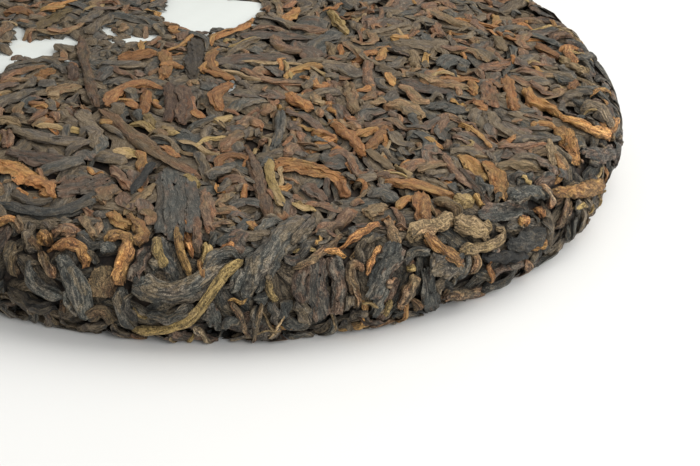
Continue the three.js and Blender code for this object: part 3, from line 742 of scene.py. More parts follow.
# The leaves that can be told apart in the photo, the lower ones first.
PLACED_LEAVES = {
    # the front of the rim, from the left
    "olive strips at the left": (BROWN, "ribbed", ((12, 240), (9, 262), (14, 284)), 3, -0.4, 0.2),
    "grey strips at the left": (ROLLED, "spindle", ((30, 220), (27, 236), (29, 252)), 2.6, 0.2, 0.7),
    "slate hook": (ROLLED, "spindle", ((28, 260), (31, 283), (45, 293), (67, 298)), 3, 0.3, 0.2),
    "dark leaf under the hook": (ROLLED, "spindle", ((8, 290), (28, 304), (56, 312)), 3.4, -0.6, 0.7),
    "brown strip by the hook": (BROWN, "ribbed", ((37, 248), (46, 264), (56, 278)), 2.2, 0.4, 0.4),
    "pale cut leaf": (BROWN, "pleated", ((106, 266), (106, 300)), 6.8, 0.35, 0.1),
    "slate blade at the left": (
        ROLLED, "spindle", ((60, 254), (73, 280), (84, 304), (88, 319)), 5, 0.85, 0.0),
    "thin grey strip": (TWISTED, "spindle", ((64, 294), (70, 308), (78, 319)), 1.4, 0.9, 0.3),
    "chunk with a yellow edge": (BROWN, "gutter", ((89, 313), (101, 309), (113, 322)), 6, -0.2, 0.1),
    "dark leaf by the chunk": (ROLLED, "spindle", ((121, 288), (122, 308), (136, 328)), 3.6, 0.3, 0.4),
    "orange hook at the left": (
        GOLDEN, "spindle", ((44, 247), (66, 243), (82, 247), (87, 268)), 2.6, 0.4, 0.8),
    "olive crescent": (
        ROLLED, "spindle", ((133, 283), (158, 295), (190, 294), (210, 281), (228, 266)), 5.4, 0.9, 0.4),
    "dark strip under the crescent": (ROLLED, "ribbed", ((146, 314), (168, 319), (194, 308)), 3.4, 0.15, 0.3),
    "purple leaf by the crescent": (FOLDED, "gutter", ((149, 244), (141, 262), (133, 282)), 4.2, 1.0, 0.6),
    "leaf with a golden edge": (FOLDED, "gutter", ((158, 238), (162, 256), (174, 274)), 4.4, 0.6, 0.2),
    "golden edge strip": (STALK, "stalk", ((156, 240), (158, 256), (166, 268)), 2.2, 0.2, 0.2),
    "golden-brown strip": (GOLDEN, "ribbed", ((176, 228), (180, 252), (191, 276)), 1.8, -0.2, 0.1),
    "rust strip": (GOLDEN, "ribbed", ((188, 218), (189, 236), (192, 256)), 2.4, 1.2, 1.0),
    "rust strip beside it": (BROWN, "ribbed", ((198, 218), (197, 236), (197, 252)), 2, 0.0, 0.9),
    "short orange bar": (GOLDEN, "spindle", ((199, 258), (203, 280)), 1.4, 0.0, 0.5),
    "tan upright": (STALK, "ribbed", ((208, 240), (205, 268)), 2.6, 1.0, 0.3),
    "slate arc": (ROLLED, "spindle", ((204, 272), (216, 256), (230, 251), (244, 258)), 2.6, 0.5, 0.2),
    "small slate bar": (ROLLED, "spindle", ((241, 268), (232, 294)), 2.4, 0.8, 0.0),
    "green-grey fibrous leaf": (FOLDED, "pleated", ((211, 304), (219, 336)), 3.8, 1.5, 0.1),
    "curved twig": (BROWN, "spindle", ((229, 303), (240, 312), (247, 334)), 1.3, 0.1, 0.4),
    "second curved twig": (BROWN, "spindle", ((262, 306), (256, 320), (250, 337)), 1.2, 0.3, 0.5),
    "tan sliver at the foot": (STALK, "stalk", ((170, 333), (182, 338), (194, 335)), 1.2, 0.6, 0.4),
    # Its tone is raised far past the others' to light it where other leaves shade it: painted light.
    "grey strip at the foot": (TWISTED, "spindle", ((194, 324), (216, 338)), 1.8, 2.6, 0.7),
    "small slate wedge": (ROLLED, "spindle", ((255, 304), (269, 294)), 2.6, 0.1, 0.0),
    "grey leaf below it": (FOLDED, "gutter", ((271, 302), (276, 322)), 3.2, 0.6, 0.3),
    "dark leaf at the foot": (ROLLED, "spindle", ((282, 321), (298, 324), (314, 320)), 3.4, -0.2, 0.2),
    "lower dark lobe": (ROLLED, "spindle", ((297, 300), (309, 320)), 3.6, 0.3, 0.6),
    "first lobe": (FOLDED, "gutter", ((305, 266), (299, 282), (301, 304)), 4.6, 0.4, 0.7),
    "middle lobe": (FOLDED, "gutter", ((318, 256), (315, 286), (321, 318)), 7, 0.5, 0.6),
    "third lobe": (FOLDED, "gutter", ((332, 257), (341, 284), (335, 314)), 5.8, 0.5, 0.65),
    "big dark leaf": (
        ROLLED, "spindle", ((245, 302), (256, 274), (272, 252), (290, 234), (310, 216)), 6.2, 0.65, 0.25),
    "strip beside the big leaf": (TWISTED, "spindle", ((292, 246), (303, 231), (314, 219)), 1.6, 0.2, 0.5),
    "golden crumb strip": (STALK, "knobbly", ((270, 281), (268, 291), (277, 303)), 1.5, -0.3, 0.3),
    "long golden stem": (
        STALK, "stalk", ((131, 331), (143, 330), (166, 328), (189, 321), (205, 304), (216, 285),
            (229, 268), (243, 261)), 2.5, 0.4, 0.0),
    "first pale fibre": (STALK, "stalk", ((262, 311), (268, 322), (277, 331)), 0.6, 0.0, 0.9),
    "second pale fibre": (STALK, "stalk", ((284, 313), (277, 323), (267, 335)), 0.6, 1.5, 0.8),
    "third pale fibre": (STALK, "stalk", ((253, 331), (266, 326), (281, 328)), 0.5, 0.3, 0.6),
    "orange chip at the front": (GOLDEN, "knobbly", ((221, 243), (235, 246)), 1.7, 1.2, 1.0),
    "orange leaf at the left": (
        GOLDEN, "knobbly", ((131, 238), (126, 254), (122, 268), (119, 285)), 3.2, 0.7, 0.6),
    "golden fold at the left": (
        GOLDEN, "knobbly", ((109, 243), (114, 234), (124, 238), (131, 246)), 2.6, 0.1, 0.3),
    "granular golden lump": (GOLDEN, "knobbly", ((112, 211), (119, 221), (130, 227)), 3.6, 0.1, 0.1),
    "golden fold": (GOLDEN, "knobbly", ((128, 214), (138, 222), (143, 235), (135, 247)), 3, -0.2, 0.3),
    # the middle of the rim
    "dark curl": (ROLLED, "spindle", ((366, 238), (358, 250), (362, 264)), 2.4, -0.2, 0.6),
    "leaf above the blade": (BROWN, "gutter", ((388, 220), (394, 240), (399, 263)), 3.8, 1.3, 0.6),
    "slate strip below the blade": (ROLLED, "spindle", ((388, 286), (378, 300), (374, 318)), 2.6, 0.6, 0.0),
    "pinkish bar": (BROWN, "spindle", ((384, 284), (399, 283)), 1.6, 0.4, 0.9),
    "dark blade": (FOLDED, "pleated", ((397, 245), (385, 266), (369, 298)), 5, 0.8, 0.1),
    "blade's brown edge": (GOLDEN, "spindle", ((382, 243), (373, 258), (366, 276)), 1.4, 1.0, 0.8),
    "hook with a pinkish end": (
        BROWN, "spindle", ((364, 272), (359, 263), (350, 264), (350, 277), (356, 292),
            (358, 310)), 2.4, 0.1, 0.5),
    "tan lump": (BROWN, "knobbly", ((367, 215), (384, 203)), 3.6, 0.6, 0.1),
    "long thin twig": (BROWN, "spindle", ((292, 269), (312, 262), (326, 250), (343, 232)), 1.7, 0.0, 0.3),
    "arched strip": (BROWN, "spindle", ((312, 233), (332, 222), (355, 209)), 2.8, 0.5, 0.8),
    "rust twig": (GOLDEN, "ribbed", ((338, 247), (356, 238), (370, 231), (380, 224)), 1.8, 1.0, 1.0),
    "tan twig": (GOLDEN, "ribbed", ((322, 254), (335, 253), (349, 254)), 1.5, 1.4, 0.7),
    "slate leaf with ribs": (FOLDED, "pleated", ((428, 268), (427, 290), (425, 312)), 5, 0.5, 0.0),
    "tan wedge": (BROWN, "spindle", ((417, 277), (407, 292), (398, 309)), 3.2, 0.4, 0.4),
    "pale broken end": (STALK, "knobbly", ((383, 312), (391, 300)), 1.7, 0.1, 0.2),
    "dark curled strip": (ROLLED, "spindle", ((404, 265), (415, 251), (429, 254)), 2.2, 0.2, 0.0),
    "yellow-green crumb": (STALK, "knobbly", ((407, 269), (418, 269)), 1.4, 0.3, 0.0),
    "orange bar": (GOLDEN, "spindle", ((421, 192), (422, 210), (424, 227)), 3.8, 0.0, 0.7),
    "golden wedge": (GOLDEN, "spindle", ((414, 195), (403, 199), (397, 209)), 2.2, 0.4, 0.2),
    "grey arch": (BROWN, "spindle", ((432, 200), (447, 202), (459, 210), (459, 219)), 2.6, 0.0, 0.1),
    "granular arc": (BROWN, "knobbly", ((408, 240), (422, 229), (440, 226), (453, 215)), 3.4, 0.8, 0.0),
    "round dark leaf": (ROLLED, "knobbly", ((428, 264), (446, 265), (465, 268)), 5.4, 0.4, 0.5),
    "dark rim strip": (ROLLED, "spindle", ((468, 252), (466, 266), (456, 278)), 1.6, 0.5, 0.0),
    "orange curl": (GOLDEN, "spindle", ((424, 235), (434, 245), (446, 252), (461, 264)), 3.2, 0.0, 0.6),
    "brown upright": (BROWN, "ribbed", ((474, 252), (474, 280)), 2.6, 0.8, 0.3),
    "dark flat strip": (ROLLED, "spindle", ((480, 258), (500, 258), (526, 255)), 2.8, -1.0, 0.1),
    "grey-brown block": (FOLDED, "gutter", ((493, 274), (508, 270), (523, 264)), 4.2, 0.4, 0.8),
    "thin orange upright": (GOLDEN, "spindle", ((489, 264), (488, 283)), 1.4, 0.3, 0.8),
    "tan crumbs at the foot": (BROWN, "knobbly", ((444, 297), (460, 294), (480, 289)), 2.6, 0.2, 0.7),
    "long brown strip": (GOLDEN, "spindle", ((385, 179), (410, 183), (436, 190), (460, 196)), 3.8, 0.35, 0.6),
    "olive end": (STALK, "knobbly", ((453, 198), (474, 203)), 3.6, 0.4, 0.3),
    "golden tip": (GOLDEN, "spindle", ((474, 195), (485, 207)), 1.8, 0.6, 0.1),
    "crumpled tan leaf": (STALK, "knobbly", ((453, 222), (470, 227), (490, 233)), 4.8, 0.5, 1.0),
    "curled tan strip": (
        STALK, "spindle", ((458, 251), (478, 249), (494, 244), (506, 236), (505, 228),
            (496, 229)), 2.2, 0.2, 1.0),
    # the right of the rim
    "broad slate leaf": (FOLDED, "gutter", ((478, 216), (502, 212), (533, 205)), 5.4, 1.1, 0.3),
    "slate leaf beyond": (ROLLED, "spindle", ((509, 198), (528, 191), (546, 196)), 3.8, 0.5, 0.0),
    "big slate leaf at the right": (ROLLED, "spindle", ((506, 247), (525, 243), (545, 237)), 4.4, -0.6, 0.1),
    "pinkish strip": (BROWN, "spindle", ((540, 184), (547, 195), (554, 208)), 2.4, 1.7, 0.9),
    "ribbed grey leaf": (BROWN, "pleated", ((570, 198), (566, 214), (561, 232)), 3.8, 0.9, 0.8),
    "orange chip at the right": (GOLDEN, "knobbly", ((541, 206), (548, 217)), 2.2, 0.5, 0.9),
    "small orange chip": (GOLDEN, "knobbly", ((517, 221), (527, 223)), 1.9, 0.6, 0.8),
    "orange chip at the foot": (GOLDEN, "knobbly", ((533, 251), (545, 241)), 2.2, 0.6, 0.8),
    "grey leaf at the edge": (FOLDED, "gutter", ((582, 153), (600, 156), (614, 152)), 6, 0.5, 0.5),
    "golden-brown strip at the right": (
        GOLDEN, "spindle", ((552, 194), (577, 192), (603, 186)), 3.6, 0.0, 0.4),
    "orange end at the edge": (
        GOLDEN, "spindle", ((560, 116), (577, 124), (592, 132), (613, 138)), 3.2, 1.7, 0.6),
    "golden upright": (GOLDEN, "pleated", ((562, 125), (569, 142), (577, 166)), 4, 0.6, 0.5),
    "tan upright at the right": (STALK, "ribbed", ((549, 140), (552, 170)), 2, 0.1, 0.7),
    "reddish strip": (BROWN, "spindle", ((498, 146), (520, 147), (547, 145)), 2.2, 1.2, 1.0),
    "yellow sliver": (STALK, "stalk", ((521, 178), (533, 182)), 1.4, 1.0, 0.1),
    "golden leaf of the pair": (GOLDEN, "pleated", ((460, 154), (474, 162), (486, 179)), 5, 0.2, 0.2),
    "other leaf of the pair": (GOLDEN, "pleated", ((484, 160), (497, 172), (502, 199)), 4.6, 0.1, 0.4),
    "grey strip by the pair": (BROWN, "spindle", ((460, 168), (471, 184), (483, 200)), 2, -1.0, 0.6),
    "rust strip by the pair": (
        BROWN, "spindle", ((444, 153), (452, 168), (462, 181), (472, 191)), 1.9, 0.7, 0.9),
    # the top, from the left
    "umber leaf": (FOLDED, "pleated", ((6, 151), (38, 157), (78, 163)), 5.4, -0.4, 0.9),
    "slate leaf behind": (ROLLED, "spindle", ((32, 168), (58, 167), (84, 160)), 3.6, 0.5, 0.1),
    "brown-grey leaf": (FOLDED, "pleated", ((56, 188), (80, 185), (108, 175)), 7, 0.2, 0.9),
    "golden leaf at the left": (
        GOLDEN, "pleated", ((-8, 158), (6, 164), (20, 171), (34, 180)), 5.4, 0.9, 0.4),
    "its orange end": (GOLDEN, "spindle", ((24, 182), (36, 180), (48, 184), (49, 195)), 3.2, 0.8, 0.7),
    "small slate leaf": (ROLLED, "spindle", ((12, 190), (30, 203), (52, 198)), 2.6, -0.6, 0.6),
    "long slate leaf": (
        ROLLED, "spindle", ((-4, 202), (27, 211), (44, 216), (64, 211), (90, 201), (113, 181)),
        3.8, -0.5, 0.1),
    "granular strip": (BROWN, "knobbly", ((81, 211), (85, 225), (95, 239)), 2, 0.2, 0.0),
    "granular brown lump": (BROWN, "knobbly", ((52, 232), (64, 229), (78, 236)), 3.4, 0.4, 0.7),
    "granular orange lump": (GOLDEN, "knobbly", ((37, 234), (50, 240)), 3.2, -0.1, 0.5),
    "small golden tip": (BROWN, "spindle", ((16, 217), (21, 233)), 1.6, -0.2, 0.2),
    "grey-brown lump": (BROWN, "knobbly", ((99, 202), (108, 192), (120, 188)), 4, 0.0, 0.2),
    "pinkish strip at the left": (BROWN, "ribbed", ((111, 166), (121, 176), (132, 190)), 2.5, 0.7, 0.9),
    "yellow chunk": (STALK, "pleated", ((114, 148), (126, 151), (140, 156)), 5.6, 1.0, 0.1),
    "orange sliver": (GOLDEN, "spindle", ((138, 150), (143, 159), (139, 171)), 2.3, 0.0, 0.3),
    "dark diagonal": (ROLLED, "spindle", ((154, 162), (143, 176), (131, 194)), 2, -1.3, 0.0),
    "dark leaf of three": (FOLDED, "gutter", ((164, 170), (166, 200), (160, 232)), 5, 0.35, 0.15),
    "middle one of three": (FOLDED, "pleated", ((176, 164), (180, 200), (176, 240)), 7, 0.5, 0.1),
    "last one of three": (FOLDED, "gutter", ((190, 178), (195, 204), (190, 234)), 4.6, 0.2, 0.2),
    "long brown twig": (
        BROWN, "spindle", ((102, 108), (125, 128), (150, 147), (176, 166), (202, 179)), 3.4, -0.3, 0.2),
    "orange leaf by the twig": (GOLDEN, "spindle", ((163, 144), (178, 159)), 2.8, 0.4, 0.9),
    "yellow arch": (STALK, "stalk", ((196, 147), (208, 138), (227, 136)), 1.2, 0.8, 0.0),
    "rust corner": (GOLDEN, "spindle", ((248, 158), (232, 155), (218, 159), (218, 169)), 2, -0.5, 1.0),
    "brown-grey upright": (
        BROWN, "spindle", ((245, 140), (254, 166), (262, 190), (269, 216)), 2.6, -0.5, 0.5),
    "orange crumb": (GOLDEN, "knobbly", ((246, 184), (242, 196)), 1.3, 0.6, 1.0),
    "slate leaf in the middle": (FOLDED, "gutter", ((230, 205), (246, 200), (262, 207)), 4.2, 0.5, 0.0),
    "granular upright": (BROWN, "spindle", ((206, 189), (208, 211), (210, 233)), 3.2, 0.5, 0.8),
    "pale yellow crumb": (STALK, "knobbly", ((185, 176), (199, 185)), 1.8, 0.0, 0.1),
    "two-coloured stem": (STALK, "stalk", ((269, 158), (269, 174), (274, 188), (283, 206)), 2.2, 0.3, 0.1),
    "long orange leaf": (GOLDEN, "pleated", ((274, 165), (300, 164), (322, 171), (344, 179)), 5.4, 0.2, 0.6),
    "orange patch": (GOLDEN, "spindle", ((339, 180), (349, 196)), 2.4, 0.2, 1.0),
    "yellow-tan lump": (STALK, "gutter", ((291, 200), (303, 206), (316, 209)), 3, 0.6, 0.1),
    "ribbed brown leaf": (FOLDED, "pleated", ((303, 184), (326, 197)), 4, 0.4, 1.0),
    "slate leaf beside the strip": (ROLLED, "spindle", ((367, 194), (382, 191), (398, 199)), 4, 0.4, 0.1),
    "brown loop": (BROWN, "spindle", ((329, 156), (341, 151), (352, 161), (358, 177)), 2.1, 0.2, 0.6),
    "orange strip on the top": (
        GOLDEN, "spindle", ((331, 117), (343, 128), (354, 138), (366, 154)), 2.8, 0.4, 1.0),
    "orange strip that meets it": (GOLDEN, "spindle", ((392, 125), (380, 134), (367, 150)), 2.6, -0.4, 0.8),
    "orange bar on the top": (GOLDEN, "spindle", ((311, 131), (324, 130), (336, 137)), 2.6, 0.3, 0.8),
    "slate upright on the top": (ROLLED, "spindle", ((281, 108), (280, 128), (273, 149)), 2.4, 0.5, 0.1),
    "tan upright on the top": (BROWN, "spindle", ((349, 79), (351, 94), (354, 110)), 2.8, 0.3, 0.2),
    "broad tan leaf beyond": (BROWN, "spindle", ((384, 100), (404, 104), (423, 115)), 4.2, 1.0, 0.1),
    "cream crumb": (STALK, "knobbly", ((313, 101), (326, 103)), 2, 0.7, 0.6),
    "reddish chip": (BROWN, "knobbly", ((258, 138), (268, 140)), 2.2, 1.2, 1.0),
    "tan leaf on the top": (STALK, "gutter", ((368, 150), (380, 158), (392, 170)), 3.4, -0.7, 1.0),
    "orange arch": (
        GOLDEN, "spindle", ((107, 106), (112, 92), (126, 85), (146, 82), (163, 88)), 2.8, 0.2, 0.9),
    "upright in the arch": (GOLDEN, "spindle", ((147, 88), (143, 113)), 2.6, -0.2, 0.9),
    "reddish-brown leaf": (BROWN, "gutter", ((168, 82), (172, 100), (168, 120)), 4, -0.7, 1.0),
    "reddish-brown leaf beside it": (BROWN, "spindle", ((180, 84), (186, 102), (180, 122)), 3.4, -0.5, 1.0),
    "bright orange leaf": (GOLDEN, "spindle", ((233, 81), (221, 90), (213, 95), (220, 109)), 3.2, 0.1, 1.0),
    "tan-orange chip at the far left": (GOLDEN, "pleated", ((38, 77), (46, 73), (54, 68)), 3.4, -0.4, 0.6),
    "broad tan leaf at the left": (BROWN, "pleated", ((47, 92), (64, 88), (82, 85)), 4.6, 0.4, 0.0),
    "pale end of it": (STALK, "spindle", ((48, 94), (60, 96)), 3, 0.5, 0.9),
    "orange sliver at the far left": (GOLDEN, "spindle", ((28, 103), (42, 105)), 2.2, -0.2, 0.8),
    "tan leaf at the left edge": (STALK, "spindle", ((-6, 120), (8, 119), (20, 122)), 3, -0.2, 0.6),
    "rust upright at the left edge": (BROWN, "spindle", ((6, 127), (8, 136), (7, 147)), 2.8, 0.5, 1.0),
    "orange-brown chip": (BROWN, "spindle", ((70, 63), (73, 71), (74, 80)), 2.6, -0.8, 0.9),
    "long upright twig": (BROWN, "spindle", ((80, 34), (84, 58), (90, 84), (97, 106)), 2.6, -0.7, 0.3),
    "yellow crumb by the twig": (STALK, "spindle", ((146, 114), (153, 124)), 2.3, -0.6, 0.0),
    "pale yellow sliver": (STALK, "spindle", ((159, 127), (174, 130)), 1.8, 0.1, 0.3),
    "orange-yellow chip": (GOLDEN, "spindle", ((99, 121), (112, 123)), 2, 0.1, 0.2),
    "tan leaf in the middle": (BROWN, "spindle", ((235, 125), (248, 118), (263, 122)), 3, 1.0, 0.5),
    "orange-brown leaf beyond": (GOLDEN, "pleated", ((118, 58), (138, 56), (158, 51)), 5, -0.3, 0.8),
    "orange upright beyond": (GOLDEN, "spindle", ((163, 50), (167, 64), (163, 78)), 3, -0.2, 0.5),
    "dark upright beyond": (ROLLED, "spindle", ((196, 38), (195, 56), (191, 78)), 3.8, -1.1, 0.9),
    "golden arc beyond": (GOLDEN, "spindle", ((219, 47), (209, 58), (211, 69), (234, 77)), 2.2, -0.3, 0.5),
    "olive leaf at the far left": (STALK, "pleated", ((38, 27), (52, 18), (70, 8)), 3.6, -1.0, 0.1),
    "orange-brown leaf at the far left": (GOLDEN, "spindle", ((4, 12), (18, 9), (32, 13)), 3.4, -0.5, 0.8),
    "olive sliver beyond": (STALK, "spindle", ((330, 9), (338, 20), (347, 33)), 2.6, 0.3, 0.0),
    "golden chip beyond": (GOLDEN, "spindle", ((390, 37), (409, 38)), 3, 0.7, 0.1),
    "tan chip below it": (STALK, "spindle", ((413, 48), (417, 66)), 2.6, -0.3, 0.9),
    "reddish chip beyond": (BROWN, "spindle", ((432, 24), (442, 35)), 3, 0.5, 1.0),
    "red sliver beyond": (BROWN, "spindle", ((440, 48), (454, 49), (468, 49)), 2.2, 0.6, 1.0),
    "olive chip beyond": (STALK, "spindle", ((497, 35), (503, 49)), 3, -0.9, 0.5),
    "round tan chip": (BROWN, "knobbly", ((470, 40), (480, 40)), 3, 0.8, 0.2),
    "slate leaf beyond the chips": (FOLDED, "pleated", ((440, 64), (454, 58), (470, 62)), 6, 0.6, 0.1),
    "broad slate leaf beyond": (FOLDED, "pleated", ((402, 78), (424, 86), (452, 92)), 6.4, -0.3, 0.5),
    "slate leaf beside it": (FOLDED, "pleated", ((430, 108), (446, 102), (464, 112)), 6, 0.5, 0.0),
    "rust end of the olive strip": (GOLDEN, "spindle", ((537, 43), (549, 51), (561, 58)), 3, -0.4, 1.0),
    "olive strip at the far right": (STALK, "spindle", ((560, 57), (575, 67), (590, 77)), 2.8, 0.0, 0.6),
    "pinkish leaf beyond": (BROWN, "pleated", ((479, 68), (494, 64), (510, 60)), 5, 0.5, 1.0),
    "orange upright at the far right": (GOLDEN, "spindle", ((506, 73), (509, 88), (515, 109)), 3, 0.2, 0.9),
    "small tan block": (GOLDEN, "spindle", ((472, 80), (473, 94)), 2.4, 0.0, 0.4),
    "brown block": (BROWN, "pleated", ((489, 80), (490, 104)), 4.4, 0.2, 0.6),
    "golden-tan strip": (GOLDEN, "spindle", ((526, 87), (533, 99), (546, 103), (561, 112)), 2.8, 0.5, 0.3),
    "orange chip at the far right": (GOLDEN, "spindle", ((570, 91), (577, 81)), 2.2, -0.3, 1.0),
    "grey-brown leaf under the arc": (FOLDED, "pleated", ((455, 132), (474, 138), (492, 150)), 5.4, 1.2, 0.8),
    "golden arc at the right": (GOLDEN, "spindle", ((459, 122), (475, 131), (491, 148)), 1.6, 0.5, 0.4),
    "golden crumb on the top": (GOLDEN, "knobbly", ((426, 138), (434, 143)), 2, 0.3, 0.2),
    "tan sliver beyond": (GOLDEN, "spindle", ((203, 70), (220, 75), (235, 80)), 1.7, 0.4, 0.8),
    "golden leaf beyond": (GOLDEN, "spindle", ((160, 66), (172, 64), (184, 67)), 2, 0.5, 0.6),
    "pale sliver": (STALK, "spindle", ((214, 122), (233, 115)), 2.4, 0.9, 0.4),
    "orange leaf in the middle": (GOLDEN, "spindle", ((287, 92), (298, 99), (312, 109)), 3.2, 0.7, 0.9),
}
PLACED_THICKNESS = 0.55
PLACED_TWIST = 0.4
PLACED_RISE = 0.1 * MM
SLIVER = 2.2  # mm; leaves up to this width are laid last, on top of the others
KEPT_FEELERS = 4  # of a placed leaf, the most that a later leaf may cover
BARE_FEELERS = 3  # of the bare paper


def placed_spine(form, line):
    """A middle line through the places that the camera sees at a line's pixels."""
    corners = np.array([form.seen_at(*pixel) for pixel in line])
    along = np.concatenate([[0], np.cumsum(np.hypot(*np.diff(corners, axis=0).T))])
    t = np.linspace(0, along[-1], SPINE_NODES)
    u = np.interp(t, along, corners[:, 0])
    v = np.interp(t, along, corners[:, 1])
    for _ in range(2):
        u[1:-1] = (u[:-2] + 2 * u[1:-1] + u[2:]) / 4
        v[1:-1] = (v[:-2] + 2 * v[1:-1] + v[2:]) / 4
    return (u, v, np.unwrap(np.arctan2(np.gradient(v), np.gradient(u)))), along[-1]


def laid_leaves(sizes):
    """All leaves of the cake, laid one by one: a rough under layer first, then the ones that show."""
    rng = np.random.default_rng(SEED)
    form = CakeForm(sizes)
    shapes = leaf_shapes()
    pile = Pile(form)
    leaves = []
    from_photo = [PlacedLeaf(*row) for row in PLACED_LEAVES.values()]

    def try_leaf(name, detail, place, length, slimness, ceiling):
        """Makes one leaf by chance at a place, and keeps it if the pile has room for it."""
        side, u, v = place
        kind = KINDS[name]
        choices = shapes[kind.forms[rng.integers(len(kind.forms))], detail]
        shape = choices[rng.integers(len(choices))]
        width = slimness * rng.uniform(*kind.width)
        length = kind.stretch * length
        spine = wandering_spine(rng, kind, u, v, rng.uniform(0, 2 * math.pi), length)
        leaf = Leaf(name, shape, side, *spine, length, width, rng.uniform(*kind.thickness), rng)
        contrast = FACE_TONES + (1 - FACE_TONES) * rim_share(leaf.u[0], leaf.v[0])
        leaf.tone = 0.5 + (leaf.tone - 0.5) * contrast
        if pile.lay(leaf, ceiling, len(leaves)):
            leaves.append(leaf)

    def lay_placed(chosen):
        """Lays the leaves that the photo shows, whatever lies there."""
        for placed in chosen:
            choices = shapes[placed.form, "close"]
            shape = choices[rng.integers(len(choices))]
            spine, length = placed_spine(form, placed.line)
            thickness = PLACED_THICKNESS * min(1, 4 / placed.width)
            leaf = Leaf(placed.kind, shape, 1, *spine, length, placed.width * MM, thickness, rng)
            leaf.tone = placed.tone
            leaf.hue = placed.hue
            leaf.twist *= PLACED_TWIST
            middle = SPINE_NODES // 2
            ceiling = ceiling_at(leaf.u[middle], leaf.v[middle]) + PLACED_RISE
            pile.lay(leaf, ceiling, len(leaves), forced=True)
            leaves.append(leaf)

    for n in rng.permutation(UNDER_TRIES):
        side, u, v = form.spread((n + rng.random()) / UNDER_TRIES, n * GOLDEN_ANGLE)
        place = (int(side), float(u), float(v))
        try_leaf("under_leaves", "plain", place, rng.uniform(*UNDER_LENGTH), 1, UNDER_CEILING)
    for _ in range(COVER_TRIES):
        along, across = rng.uniform(-COVER_SPAN, COVER_SPAN, 2) * TICKET_SIZE
        place = (1, *ticket_place(along, across))
        try_leaf("cover_leaves", "plain", place, rng.uniform(*COVER_LENGTH), 1, COVER_CEILING)
    lay_placed([placed for placed in from_photo if placed.width > SLIVER])
    names = [name for name, kind in KINDS.items() if kind.share > 0]
    shares = np.array([(KINDS[name].share, KINDS[name].face_share) for name in names])
    shares /= shares.sum(axis=0)
    for lengths, tries, detail, slimness in SIZES:
        for n in rng.permutation(tries):
            side, u, v = form.spread((n + rng.random()) / tries, n * GOLDEN_ANGLE)
            on_face = int(side > 0 and math.hypot(u, v) < FACE_RADIUS)
            name = names[rng.choice(len(names), p=shares[:, on_face])]
            if detail == "plain" and rng.random() < RIM_SKIPPED * rim_share(u, v):
                continue
            place = (int(side), float(u), float(v))
            try_leaf(name, detail, place, rng.uniform(*lengths), slimness, ceiling_at(u, v))
    lay_placed([placed for placed in from_photo if placed.width <= SLIVER])
    shown = np.bincount(pile.owner[pile.owner >= 0], minlength=len(leaves))
    for leaf, count in zip(leaves, shown):
        leaf.seen = count
    return form, leaves


def rim_share(u, v):
    """0 on the flat faces and 1 at the rim, where the leaves are pressed less."""
    return np.clip((np.hypot(u, v) - RIM_START) / (RIM_WHOLE - RIM_START), 0, 1)


def ceiling_at(u, v):
    """How high above the cake's surface the leaves may reach."""
    return TOP_CEILING + (RIM_CEILING - TOP_CEILING) * rim_share(u, v)


def pressed(form, side, u, v, lift):
    """Points of the flat maps in space, with what stands too far out pressed flat, by mould and by floor."""
    room = TOP_PRESS + (RIM_PRESS - TOP_PRESS) * rim_share(u, v)
    start = ceiling_at(u, v)
    over = np.maximum(lift - start, 0)
    lift = np.where(lift > start, start + room * (1 - np.exp(-over / room)), lift)
    points = form.place(side, u, v, lift)
    low = points[:, 2] < FLOOR_START
    points[low, 2] = FLOOR_START * np.exp((points[low, 2] - FLOOR_START) / FLOOR_START)
    return points


def dressed(leaf):
    """A leaf's points on its flat map, and what its material reads there.

    The grain is the same points before the leaf was twisted and laid, edge is 1 at its sides and ends, and
    low is 1 on its underside, which its material darkens as painted shade at the rim.
    """
    x, y, z = leaf.shape.points.T
    if leaf.flip:
        x, y = -x, -y
    nodes = np.linspace(-0.5, 0.5, SPINE_NODES)
    angle = np.arctan2(z, y)
    wave = 1 + 0.1 * np.sin(2 * angle + 9 * x + leaf.phases[0]) + 0.08 * np.sin(14 * x + leaf.phases[1])
    grain = np.stack([x * leaf.length, y * leaf.half_width, z * leaf.half_width], axis=1) / MM + leaf.offset
    turn = leaf.roll + leaf.twist * x
    crumples = CRUMPLES.at(grain) * leaf.shape.crumpling
    if leaf.shape.ridged:
        crumples = crumples + RIDGE_SHARES * RIDGES.at(grain)
    crumples *= np.minimum(1, leaf.half_width / CRUMPLED_HALF_WIDTH)
    across = (y * np.cos(turn) - z * np.sin(turn)) * wave * leaf.half_width + CRUMPLE_ACROSS * crumples[:, 0]
    above = (y * np.sin(turn) + z * np.cos(turn)) * wave * leaf.thickness / 2 + CRUMPLE_ABOVE * crumples[:, 1]
    above = above * np.interp(x, nodes, leaf.press)
    x = x + CRUMPLE_ALONG / leaf.length * crumples[:, 2]
    above, across = (
        above * math.cos(leaf.tilt) + across * math.sin(leaf.tilt),
        across * math.cos(leaf.tilt) - above * math.sin(leaf.tilt),
    )
    heading = np.interp(x, nodes, leaf.heading)
    u = np.interp(x, nodes, leaf.u) - across * np.sin(heading)
    v = np.interp(x, nodes, leaf.v) + across * np.cos(heading)
    low = np.clip(0.5 - above / leaf.thickness, 0, 1)
    return u, v, np.interp(x, nodes, leaf.lift) + above, grain, leaf.shape.edge, low


LAID = {}


def cake_of(context):
    """The cake's form and its laid leaves, worked out once."""
    if not LAID:
        form, leaves = laid_leaves(context.scene.cake_sizes)
        LAID["form"] = form
        LAID["leaves"] = leaves
    return LAID["form"], LAID["leaves"]


